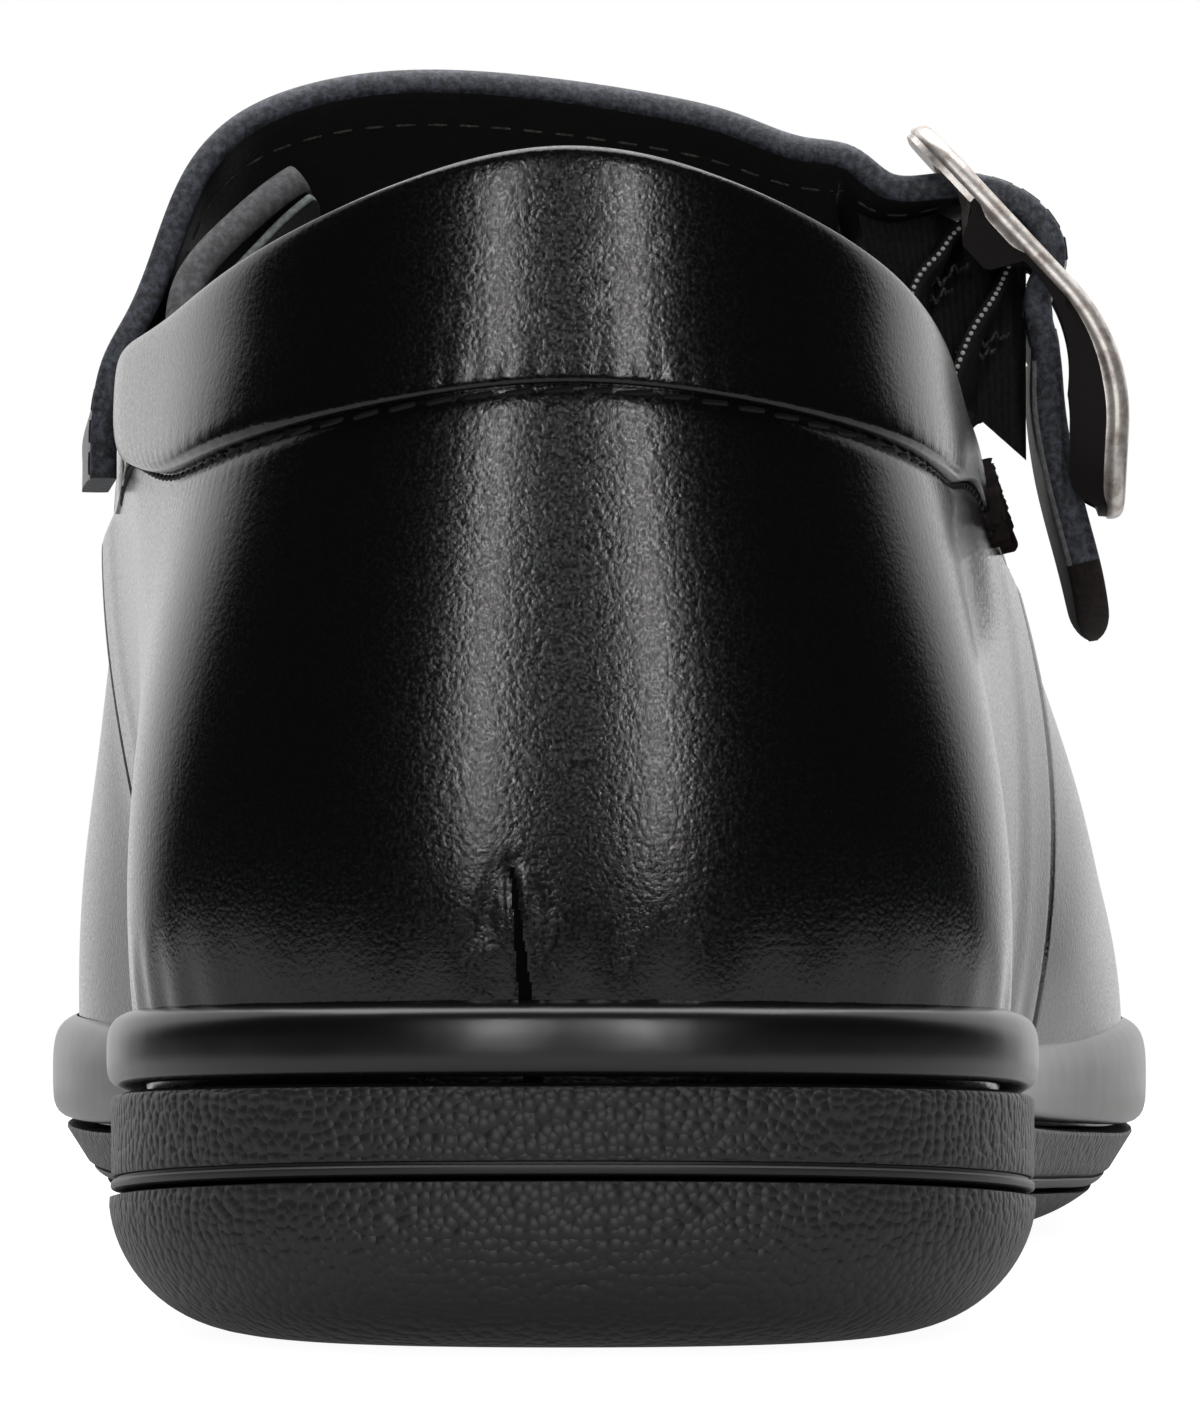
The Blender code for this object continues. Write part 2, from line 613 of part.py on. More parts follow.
def build_strap(finish, home, helpers):
    """Instep strap: its base lies on the inner quarter, its tail hangs below the buckle."""
    base = on_upper(-1, STRAP_BASE_Y, (0.87, 0.91, 0.96), STRAP_BASE_LIFT + QUARTER_STEP + STRAP_THICK / 2)
    pieces = base, band_rows(STRAP), through_buckle(), band_rows(TAIL)
    rear = np.vstack([piece[0] for piece in pieces])
    across = np.vstack([piece[1] for piece in pieces])
    mesh = band_mesh("strap", rear, across, STRAP_WIDTH, STRAP_THICK, 56, STRAP_TIP)
    strap = add_object("strap", mesh, finish, home)
    cut(strap, buckle_box("prong_hole", (-13.4, -8.6), (-5.2, 4.4)), helpers)
    return strap


def build_tab(finish, home):
    """Tab stitched inside the inner topline, reaching up under the strap."""
    depth = WALL + COLLAR_LINING / 2 + JOINT_GAP + TAB_THICK / 2
    base = on_upper(-1, TAB_Y, (0.7, 0.8, 0.9), -depth)
    rear, across = (np.vstack(pair) for pair in zip(base, band_rows(TAB)))
    mesh = band_mesh("strap_tab", rear, across, TAB_Y[1] - TAB_Y[0], TAB_THICK, 12)
    return add_object("strap_tab", mesh, finish, home)


def build_elastic(finish, home, helpers):
    """Folded webbing: up the inside of the outer quarter, round the bar and back down beside itself."""
    turn = np.radians((0.0, 45.0, 90.0, 135.0, 180.0))
    side = np.full(len(turn), -ELASTIC_WIDTH / 2)
    runs = BAR_ALONG - ELASTIC_LOOP[0] * np.cos(turn)
    loop = BUCKLE.at(runs, side, ELASTIC_LOOP[1] * np.sin(turn) - BAR_DROP)
    depth = WALL + JOINT_GAP + FIT + ELASTIC_THICK / 2
    outer = on_upper(1, ELASTIC_Y, (0.97, 0.87, 0.76), -depth)
    inner = on_upper(1, ELASTIC_Y, (0.76, 0.87, 0.97), -depth - ELASTIC_THICK - 2 * FIT)
    rounds = loop, np.tile(BUCKLE.across, (len(turn), 1))
    long_ply = (rows[::-1] for rows in band_rows(ELASTIC_INNER))
    pieces = inner, tuple(long_ply), rounds, band_rows(ELASTIC_OUTER), outer
    rear = np.vstack([piece[0] for piece in pieces])
    across = np.vstack([piece[1] for piece in pieces])
    mesh = band_mesh("elastic", rear, across, ELASTIC_WIDTH, ELASTIC_THICK, 44)
    elastic = add_object("elastic", mesh, finish, home)
    cut(elastic, buckle_box("prong_slot", (-12.5, -2.5), (-6.0, 1.4)), helpers)
    return elastic


def buckle_box(name, along, lift):
    """Box across the buckle's middle plane, as wide as the prong's slot."""
    runs = np.array([along[0], along[1], along[1], along[0]])
    lifts = np.array([lift[0], lift[0], lift[1], lift[1]])
    sides = (-PRONG_SLOT / 2, PRONG_SLOT / 2)
    return loft(name, [BUCKLE.at(runs, np.full(4, side), lifts) for side in sides], caps="fan")


def cut(part, mesh, helpers):
    """Take a hidden cutter's shape out of a part."""
    cutter = bpy.data.objects.new(mesh.name, mesh)
    helpers.objects.link(cutter)
    cutter.hide_render = True
    cutter.display_type = "WIRE"
    made = part.modifiers.new(mesh.name, "BOOLEAN")
    made.operation = "DIFFERENCE"
    made.solver = "EXACT"
    made.object = cutter


def build_prong(finish, home):
    """Pin bent from round wire: hooked round the bar, up through the strap and over to the frame's end."""
    radius = BAR_RADIUS + FIT + PRONG_RADIUS
    turn = np.radians(np.linspace(0.0, -180.0, 7))
    hook = np.column_stack([BAR_ALONG + radius * np.cos(turn), radius * np.sin(turn) - BAR_DROP])
    route = np.vstack([hook, PRONG_PIN])
    run = np.append(0, np.cumsum(np.linalg.norm(np.diff(route, axis=0), axis=1)))
    route = spline(run, route, np.linspace(0, run[-1], 22))
    points = BUCKLE.at(route[:, 0], np.zeros(len(route)), route[:, 1]) * MM
    wire = bpy.data.curves.new("buckle_prong", "CURVE")
    wire.dimensions = "3D"
    wire.bevel_depth = PRONG_RADIUS * MM
    wire.bevel_resolution = 2
    wire.use_fill_caps = True
    line = wire.splines.new("POLY")
    line.points.add(len(points) - 1)
    for place, point in zip(line.points, points):
        place.co = (*point, 1.0)
    return add_object("buckle_prong", wire, finish, home)


def rail_line(turn, out):
    """Run along and place across of the rail's line at an angle: inner line at out = -1, outer at out = 1."""
    length = BUCKLE_HALF_LENGTH - RAIL_WIDTH / 2 + out * RAIL_WIDTH / 2
    width = BUCKLE_HALF_WIDTH - RAIL_WIDTH / 2 + out * RAIL_WIDTH / 2
    ahead = np.abs(np.cos(turn) / length) ** BUCKLE_SQUARENESS
    aside = np.abs(np.sin(turn) / width) ** BUCKLE_SQUARENESS
    reach = (ahead + aside) ** (-1 / BUCKLE_SQUARENESS)
    return reach * np.cos(turn), reach * np.sin(turn)


def rail_depth(along):
    """Depth of the rail: slight at the strap's end, a lug at the bar, then full and round at the tip."""
    lug = np.clip((2.8 - np.abs(along - BAR_ALONG)) / 1.4, 0, 1)
    full = np.clip((along + 2.0) / 9.0, 0, 1)
    tip = np.sqrt(1 - np.clip((along - 13.0) / 4.6, 0, 0.95) ** 2)
    return RAIL_TOP_DEPTH + (RAIL_DEPTH - RAIL_TOP_DEPTH) * np.maximum(lug, full) * tip


def build_frame(finish, home, helpers):
    """Bent frame: a rail that deepens towards its lower end, a cast-on bar and a groove for the prong."""
    turn = (np.arange(48) + 0.5) / 48 * 2 * math.pi
    shape = ((1, -0.2), (0.75, 0.75), (0.3, 1.05), (-0.6, 1.05), (-1, 0.6), (-1, None), (1, None))
    rings = []
    for out, lift in shape:
        along, side = rail_line(turn, out)
        if lift is None:
            low_end = np.clip((along - 11.5) / 2.0, 0, 1) * np.clip((12.4 - np.abs(side)) / 1.4, 0, 1)
            lift = -rail_depth(along) * (1 - RAIL_END_RELIEF * low_end)
        rings.append(BUCKLE.at(along, side, lift))
    frame = add_object("buckle_frame", loft("buckle_frame", rings, around=True), finish, home)
    reach = BUCKLE_HALF_WIDTH - RAIL_WIDTH / 2
    turn = np.arange(16) / 16 * 2 * math.pi
    ends = []
    for side in (-reach, reach):
        along = BAR_ALONG + BAR_RADIUS * np.cos(turn)
        ring = BUCKLE.at(along, np.full(16, side), BAR_RADIUS * np.sin(turn) - BAR_DROP)
        ends.append(ring)
    bar = add_object("centre_bar", loft("centre_bar", ends, caps="fan"), finish, helpers)
    bar.hide_render = True
    bar.display_type = "WIRE"
    join = frame.modifiers.new("Centre bar", "BOOLEAN")
    join.operation = "UNION"
    join.solver = "EXACT"
    join.object = bar
    cut(frame, buckle_box("prong_groove", (-19.0, -13.0), (PRONG_GROOVE, 4.0)), helpers)
    return frame


def remove_old_objects():
    """Clear what the scene holds."""
    for old in list(bpy.data.objects):
        bpy.data.objects.remove(old, do_unlink=True)


def collection(name):
    """New collection in the scene."""
    made = bpy.data.collections.new(name)
    bpy.context.scene.collection.children.link(made)
    return made


def main():
    remove_old_objects()
    home = collection("school_shoe")
    helpers = collection("cutters")
    leather = material("black_leather", (0.012, 0.012, 0.013), 0.35)
    rubber = material("black_rubber", (0.016, 0.016, 0.017), 0.6)
    lining = material("lining", (0.03, 0.028, 0.026), 0.8)
    webbing = material("elastic_webbing", (0.015, 0.015, 0.016), 0.9)
    nickel = material("nickel", (0.62, 0.61, 0.58), 0.2, 1.0)
    parts = [
        build_outsole(rubber, home),
        build_midsole(rubber, home),
        build_rand(rubber, home),
        build_insole(lining, home),
        build_upper(leather, home),
        build_strap(leather, home, helpers),
        build_tab(leather, home),
        build_elastic(webbing, home, helpers),
        build_frame(nickel, home, helpers),
        build_prong(nickel, home),
    ]
    anchor = bpy.data.objects.new("shoe_origin", None)
    home.objects.link(anchor)
    low = PLAN.curve.min(axis=0)
    high = PLAN.curve.max(axis=0)
    anchor.location = (*(-(low + high) / 2 * MM), 0.0)
    for part in (*parts, *helpers.objects):
        part.parent = anchor


main()
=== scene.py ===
"""Looks of the right-foot school shoe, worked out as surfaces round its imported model.

Shapes are worked out in millimetres with the back of the heel at y = 0, the toe towards +Y, the outer side
towards +X and the floor at z = 0, as the shoe was drawn. They are moved to the model's frame when a piece is
made.
"""
import math

import bpy
import numpy as np
from mathutils import Matrix


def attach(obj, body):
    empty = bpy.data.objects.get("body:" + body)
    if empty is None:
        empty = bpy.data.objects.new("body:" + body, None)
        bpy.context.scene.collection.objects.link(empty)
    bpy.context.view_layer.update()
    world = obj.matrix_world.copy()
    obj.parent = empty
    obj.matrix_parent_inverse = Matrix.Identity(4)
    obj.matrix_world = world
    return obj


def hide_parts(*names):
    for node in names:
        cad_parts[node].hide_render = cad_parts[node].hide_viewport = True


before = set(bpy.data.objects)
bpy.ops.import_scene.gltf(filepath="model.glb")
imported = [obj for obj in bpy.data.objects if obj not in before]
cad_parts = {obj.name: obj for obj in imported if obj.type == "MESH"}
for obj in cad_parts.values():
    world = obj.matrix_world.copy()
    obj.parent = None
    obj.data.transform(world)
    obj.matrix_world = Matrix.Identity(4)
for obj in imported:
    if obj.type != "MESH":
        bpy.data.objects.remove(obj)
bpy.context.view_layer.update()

MM = 0.001

# Sizes shared with the model, in millimetres
SHOE_LENGTH = 246.0
TOE_TIP_X = -2.0
JOINT_GAP = 0.3
RAND_GAP = 0.45
WALL = 2.2
QUARTER_STEP = 0.9
SEAM_FEATHER_Y = (104.0, 114.0)
COLLAR_PAD = 2.4
COLLAR_LINING = 1.6
INSOLE_THICK = 3.2
STRAP_WIDTH = 19.0
STRAP_THICK = 2.0
STRAP_TIP = 7.0
STRAP_BASE_Y = (80.0, 99.0)
STRAP_BASE_LIFT = 0.7
TAB_Y = (76.0, 88.0)
TAB_THICK = 2.2
ELASTIC_WIDTH = 14.0
ELASTIC_THICK = 1.2
ELASTIC_Y = (82.0, 95.0)
BUCKLE_HALF_LENGTH = 17.3
BUCKLE_HALF_WIDTH = 13.8
BUCKLE_SQUARENESS = 7.0
BUCKLE_CENTRE = (37.6, 96.2, 73.1)
BUCKLE_DROOP = 0.5
BUCKLE_TOE_IN = -2.0
BUCKLE_BEND = (-0.4, 10.6)
BUCKLE_SLOPES = (47.0, 93.0)
RAIL_WIDTH = 3.0
RAIL_DEPTH = 3.3
RAIL_TOP_DEPTH = 0.7
RAIL_END_RELIEF = 0.57
BAR_RADIUS = 0.9
BAR_DROP = 2.3
BAR_ALONG = -7.0
ELASTIC_LOOP = (2.4, 1.8)
PRONG_RADIUS = 0.7
PRONG_GROOVE = -0.45
FIT = 0.25

# Plan of the sole: y, half-widths on the outer and the inner side
OUTLINE = np.array([
    (5.5, 20.6, -20.6),
    (16.0, 29.2, -29.0),
    (36.0, 33.1, -32.5),
    (62.0, 32.8, -30.6),
    (90.0, 33.4, -27.4),
    (116.0, 38.0, -29.8),
    (146.0, 44.9, -38.8),
    (168.0, 46.0, -42.1),
    (194.0, 42.9, -39.9),
    (217.0, 35.2, -33.8),
    (236.0, 21.6, -23.0),
])

# Heights along the sole
HEIGHT_COLUMNS = ("y", "floor", "joint", "seat", "rand", "round", "rise", "inset")
HEIGHTS = np.array([
    (0.0, 0.0, 12.0, 18.6, 23.8, 9.0, 9.6, 3.6),
    (30.0, 0.0, 9.3, 16.5, 21.8, 9.4, 9.4, 3.8),
    (62.0, 0.0, 7.1, 14.0, 19.4, 9.4, 8.8, 3.4),
    (72.0, 2.2, 6.6, 13.1, 18.6, 9.4, 8.4, 3.0),
    (92.0, 2.2, 5.9, 11.4, 17.2, 10.0, 8.2, 2.7),
    (126.0, 0.8, 4.1, 9.0, 16.2, 12.0, 9.6, 2.3),
    (150.0, 0.0, 3.1, 7.9, 16.0, 13.0, 11.2, 2.2),
    (182.0, 0.0, 3.0, 7.6, 15.6, 13.0, 11.0, 2.2),
    (215.0, 2.6, 5.6, 10.0, 17.2, 11.0, 9.4, 2.3),
    (246.0, 8.5, 11.3, 15.6, 21.9, 9.0, 7.4, 2.4),
])

# Wall lines of the upper, from the heel along the outer side to the toe and back
UPPER_COLUMNS = ("side", "foot_y", "top_x", "top_y", "top_z", "low", "low_lean", "high", "high_lean",
                 "collar", "pad")
UPPER = np.array([
    (0, 0.0, 0.0, 7.5, 82.0, 20.0, 10.5, 20.0, 8.0, 0.74, 1.0),
    (1, 14.0, 18.8, 15.0, 75.2, 22.0, 16.0, 18.0, 4.0, 0.755, 1.0),
    (1, 36.0, 24.2, 35.0, 69.4, 19.0, 11.0, 16.0, 4.0, 0.8, 0.85),
    (1, 60.0, 26.6, 59.0, 64.8, 17.0, 7.0, 15.0, 6.0, 0.88, 0.6),
    (1, 80.0, 28.8, 79.0, 61.5, 16.0, 8.0, 14.0, 12.0, 0.92, 0.25),
    (1, 98.0, 31.0, 103.0, 57.0, 19.0, 14.0, 13.0, 19.0, 0.88, 0.0),
    (1, 114.0, 33.9, 131.0, 51.5, 22.5, 19.0, 14.0, 32.0, 0.88, 0.0),
    (1, 140.0, 27.5, 147.0, 51.3, 19.0, 11.0, 17.0, 46.0, 0.88, 0.0),
    (1, 165.0, 17.4, 154.5, 52.3, 20.0, 5.0, 24.0, 60.0, 0.88, 0.0),
    (1, 195.0, 9.0, 158.2, 53.5, 23.0, 1.0, 32.0, 66.0, 0.88, 0.0),
    (1, 222.0, 3.0, 159.7, 54.3, 26.0, 0.0, 38.0, 68.0, 0.88, 0.0),
    (0, 246.0, -3.0, 160.0, 54.7, 28.0, 0.0, 42.0, 68.0, 0.88, 0.0),
    (-1, 222.0, -9.0, 159.2, 55.1, 26.0, 0.0, 38.0, 67.0, 0.88, 0.0),
    (-1, 195.0, -15.5, 156.8, 55.7, 24.0, 1.0, 32.0, 64.0, 0.88, 0.0),
    (-1, 165.0, -24.2, 151.5, 56.5, 17.0, 1.5, 24.0, 52.0, 0.88, 0.0),
    (-1, 140.0, -31.8, 140.5, 57.7, 18.0, 2.0, 18.0, 32.0, 0.88, 0.0),
    (-1, 114.0, -35.3, 124.0, 59.3, 20.0, 14.0, 15.0, 16.0, 0.88, 0.0),
    (-1, 98.0, -33.5, 105.0, 62.1, 20.0, 14.0, 15.0, 12.0, 0.88, 0.0),
    (-1, 80.0, -31.9, 83.0, 65.7, 19.0, 13.0, 15.0, 4.5, 0.88, 0.1),
    (-1, 60.0, -30.0, 61.0, 68.7, 18.0, 9.0, 16.0, 3.0, 0.84, 0.85),
    (-1, 36.0, -26.0, 36.0, 70.9, 19.0, 12.0, 16.0, 3.0, 0.78, 1.0),
    (-1, 14.0, -19.6, 15.0, 75.3, 22.0, 16.0, 18.0, 4.0, 0.75, 1.0),
])

# Rear edges of the bands: place, droop towards the toe and turn towards the foot in degrees
STRAP = np.array([
    (-33.9, 83.2, 68.35, 6.0, -3.0),
    (-32.3, 83.9, 71.45, 8.0, -2.0),
    (-29.9, 85.6, 77.65, 15.0, -1.0),
    (-27.4, 87.2, 83.35, 22.0, 0.0),
    (-24.9, 88.4, 86.05, 26.0, 0.0),
    (-19.9, 89.8, 88.45, 29.0, 0.0),
    (-11.2, 91.0, 89.7, 31.0, 0.0),
    (-3.0, 91.2, 89.25, 31.0, 0.0),
    (6.5, 90.2, 87.8, 29.0, 1.0),
    (12.5, 89.2, 86.25, 27.0, 2.0),
    (17.6, 88.0, 84.45, 24.0, 2.0),
])
TAIL = np.array([
    (35.35, 86.0, 69.85, 1.0, -1.0),
    (35.65, 86.0, 65.65, 1.0, -0.5),
    (36.35, 85.9, 61.05, 1.0, 0.2),
    (37.55, 85.8, 56.15, 1.0, 0.4),
    (38.45, 85.7, 52.75, 1.0, 0.4),
    (39.05, 85.6, 49.85, 1.0, 0.4),
    (39.45, 85.6, 47.35, 1.0, 0.4),
])
TAB = np.array([
    (-28.4, 82.5, 74.05, 8.0, 0.0),
    (-25.0, 85.0, 78.45, 14.0, 0.0),
    (-21.0, 87.0, 81.85, 18.0, 0.0),
    (-19.4, 87.8, 82.85, 20.0, 0.0),
])
TAB_BACKING = np.array([
    (-26.3, 83.6, 73.2, 8.0, 0.0),
    (-23.6, 85.6, 76.7, 14.0, 0.0),
    (-21.0, 86.8, 79.4, 18.0, 0.0),
    (-18.8, 87.6, 81.2, 20.0, 0.0),
])
ELASTIC_INNER = np.array([
    (27.65, 88.2, 76.55, 3.0, -9.0),
    (26.25, 87.4, 75.0, 3.0, -16.0),
    (25.2, 86.2, 72.15, 3.0, -22.0),
    (24.5, 84.8, 68.05, 3.0, -16.0),
])
ELASTIC_OUTER = np.array([
    (31.75, 88.0, 73.35, 2.0, -5.0),
    (30.25, 86.6, 71.1, 2.0, -11.0),
    (28.8, 85.4, 67.75, 2.0, -12.0),
    (27.5, 84.6, 64.65, 2.0, -8.0),
])

# Corners of the webbing under the bar, and frayed yarns on it: both ends and height of their swing
GUSSET = np.array([(21.0, 94.5, 82.6), (34.2, 93.0, 76.6), (23.5, 92.0, 70.5), (34.2, 91.5, 61.0)])
FRAYS = [
    (np.array([25.4, 90.6, 73.0]), np.array([29.8, 90.6, 75.8]), 0.35),
    (np.array([25.9, 90.4, 72.2]), np.array([28.6, 90.4, 73.9]), 0.25),
    (np.array([28.9, 90.0, 69.0]), np.array([32.8, 90.0, 70.6]), 0.3),
    (np.array([29.6, 89.8, 68.2]), np.array([31.8, 89.8, 69.4]), 0.22),
]
RAW_END_Y = (84.0, 97.0)

# Run along the buckle and lift off it: the strap's rear edge inside the buckle, with its droop,
# and the prong's pin
THROUGH = np.array([
    (-19.0, -4.8, 25.0),
    (-15.6, -4.2, 16.0),
    (-12.4, -1.0, 5.0),
    (-9.4, 1.4, 2.0),
    (-5.8, 2.2, 0.5),
    (-3.0, 1.0, 0.5),
    (-1.9, -1.4, 0.5),
])
PRONG_PIN = np.array([
    (-9.6, -0.9),
    (-11.0, 0.3),
    (-12.8, 0.65),
    (-14.6, 0.55),
    (-16.6, 0.5),
])

# Profile round the buckle's rail: place from inner (-1) to outer (1), share of the depth, lift
RAIL_PROFILE = np.array([
    (0.9, 1.0, 0.0), (0.9, 0.6, 0.0), (0.9, 0.2, 0.0), (0.93, 0.0, -0.24), (1.0, 0.0, -0.12), (1.0, 0.0, 0.2),
    (0.96, 0.0, 0.5), (0.85, 0.0, 0.78), (0.62, 0.0, 0.97), (0.25, 0.0, 1.05), (-0.2, 0.0, 1.05),
    (-0.6, 0.0, 1.0), (-0.9, 0.0, 0.8), (-1.0, 0.0, 0.4), (-1.0, 0.4, 0.0), (-1.0, 0.95, 0.0),
    (-0.9, 1.0, 0.0), (0.8, 1.0, 0.0),
])

# Creases of the heel as seen from behind: place across and up, length, slope in degrees, width, depth
HEEL_CREASES = np.array([
    (-3.3, 28.8, 8.6, 96.0, 0.4, 0.12),
    (-3.0, 25.6, 5.0, 95.0, 0.7, 0.16),
    (-3.5, 33.4, 3.4, 8.0, 0.4, 0.06),
    (-5.1, 31.2, 3.6, 62.0, 0.8, 0.05),
    (-6.0, 28.6, 3.2, 48.0, 0.9, 0.05),
    (-1.6, 30.6, 3.6, 104.0, 0.8, 0.05),
    (-5.4, 26.0, 2.6, 20.0, 0.8, 0.04),
])
# Slit of the heel's dart, painted as shade: top, bottom, half-width at each
DART_SLIT = ((-3.75, 33.0), (-2.75, 23.0), 0.12, 0.55)
# Creases of the collar, in the same columns
COLLAR_CREASES = np.array([
    (3.4, 74.6, 6.0, 12.0, 0.40, 0.07),
    (3.8, 73.2, 7.0, 10.0, 0.40, 0.08),
    (4.4, 71.8, 6.0, 14.0, 0.40, 0.07),
    (-5.0, 70.4, 7.0, -6.0, 0.45, 0.05),
    (19.0, 60.4, 8.0, -24.0, 0.50, 0.10),
    (-21.0, 62.0, 8.0, 22.0, 0.50, 0.08),
])


def columns(names, rows):
    """Give a table as one array for each named column."""
    return dict(zip(names, rows.T))


def spline(knots, values, at, period=None):
    """Cubic spline through values at rising knots: natural ends, or periodic when a period is given."""
    knots = np.asarray(knots, float)
    values = np.asarray(values, float).reshape(len(knots), -1)
    at = np.asarray(at, float)
    if period is not None:
        knots = np.append(knots, knots[0] + period)
        values = np.vstack([values, values[:1]])
        at = (at - knots[0]) % period + knots[0]
    count = len(knots)
    gaps = np.diff(knots)
    rise = np.diff(values, axis=0) / gaps[:, None]
    system = np.eye(count)
    target = np.zeros_like(values)
    for i in range(1, count - 1):
        system[i, i - 1:i + 2] = gaps[i - 1], 2 * (gaps[i - 1] + gaps[i]), gaps[i]
        target[i] = 6 * (rise[i] - rise[i - 1])
    if period is not None:
        system[0, [0, 1, -2, -1]] = 2 * gaps[0], gaps[0], gaps[-1], 2 * gaps[-1]
        target[0] = 6 * (rise[0] - rise[-1])
        system[-1, [0, -1]] = 1, -1
    bend = np.linalg.solve(system, target)
    cell = np.clip(np.searchsorted(knots, at, side="right") - 1, 0, count - 2)
    right = ((at - knots[cell]) / gaps[cell])[..., None]
    left = 1 - right
    curve = (left ** 3 - left) * bend[cell] + (right ** 3 - right) * bend[cell + 1]
    return left * values[cell] + right * values[cell + 1] + curve * gaps[cell][..., None] ** 2 / 6


def steady(knots, values, at):
    """Cubic through rows that never overshoots them, so that a flat stretch stays flat."""
    gaps = np.diff(knots)
    rise = np.diff(values) / gaps
    slope = np.zeros(len(knots))
    same = rise[:-1] * rise[1:] > 0
    slope[1:-1][same] = 2 * rise[:-1][same] * rise[1:][same] / (rise[:-1] + rise[1:])[same]
    slope[0] = rise[0]
    slope[-1] = rise[-1]
    cell = np.clip(np.searchsorted(knots, at, side="right") - 1, 0, len(gaps) - 1)
    t = np.clip((at - knots[cell]) / gaps[cell], 0, 1)
    span = gaps[cell]
    low = (1 + 2 * t) * (1 - t) ** 2 * values[cell] + t * (1 - t) ** 2 * span * slope[cell]
    high = t * t * (3 - 2 * t) * values[cell + 1] + t * t * (t - 1) * span * slope[cell + 1]
    return low + high


def unit(vectors):
    """Scale vectors to length one."""
    return vectors / np.linalg.norm(vectors, axis=-1, keepdims=True)


def smooth(low, high, value):
    """Soft step from zero at low to one at high."""
    t = np.clip((value - low) / (high - low), 0, 1)
    return t * t * (3 - 2 * t)


def run_of(points):
    """Length run along a line of points."""
    return np.append(0, np.cumsum(np.linalg.norm(np.diff(points, axis=0), axis=1)))


class Plan:
    """Closed plan curve of the sole, read by u: 0 at the heel, 0.5 at the toe, the outer side in between."""

    def __init__(self):
        y, outer, inner = OUTLINE.T
        start = np.array([[0.0, 0.0]])
        toe = np.array([[TOE_TIP_X, SHOE_LENGTH]])
        points = np.vstack([start, np.column_stack([outer, y]), toe, np.column_stack([inner, y])[::-1]])
        knots = run_of(points)
        period = knots[-1] + np.linalg.norm(points[0] - points[-1])
        dense = np.linspace(0, period, 4001)
        self.curve = spline(knots, points, dense, period)
        self.run = run_of(self.curve)
        toe_run = np.interp(knots[len(OUTLINE) + 1], dense, self.run)
        past = 0.5 + 0.5 * (self.run - toe_run) / (self.run[-1] - toe_run)
        self.u = np.where(self.run <= toe_run, 0.5 * self.run / toe_run, past)
        along = unit(np.gradient(self.curve, axis=0))
        self.out = np.column_stack([along[:, 1], -along[:, 0]])

    def at(self, u, inset=0.0):
        """Points at u, moved inwards by inset."""
        u = np.mod(u, 1.0)
        place = np.column_stack([np.interp(u, self.u, self.curve[:, k]) for k in (0, 1)])
        return place - np.reshape(inset, (-1, 1)) * self.outward(u)

    def outward(self, u):
        """Unit vectors that point out of the plan at u."""
        u = np.mod(u, 1.0)
        return unit(np.column_stack([np.interp(u, self.u, self.out[:, k]) for k in (0, 1)]))

    def find(self, side, y):
        """Parameter u of the plan's point at y, on the outer (1) or inner (-1) side or at an end (0)."""
        if side == 0:
            return 0.0 if y < SHOE_LENGTH / 2 else 0.5
        half = self.u <= 0.5 if side > 0 else self.u >= 0.5
        order = np.argsort(self.curve[half, 1])
        return float(np.interp(y, self.curve[half, 1][order], self.u[half][order]))

    def length(self, u):
        """Length along the plan at u, counted from the heel and negative on the inner side."""
        total = self.run[-1]
        return np.interp(np.mod(u, 1.0), self.u, self.run) + np.floor(u) * total


PLAN = Plan()
LEVELS = columns(HEIGHT_COLUMNS, HEIGHTS)
SHIFT = np.append((PLAN.curve.min(axis=0) + PLAN.curve.max(axis=0)) / 2, 0.0)


def level(name, y):
    """Height or rounding of the named column at y."""
    return steady(LEVELS["y"], LEVELS[name], np.asarray(y, float))


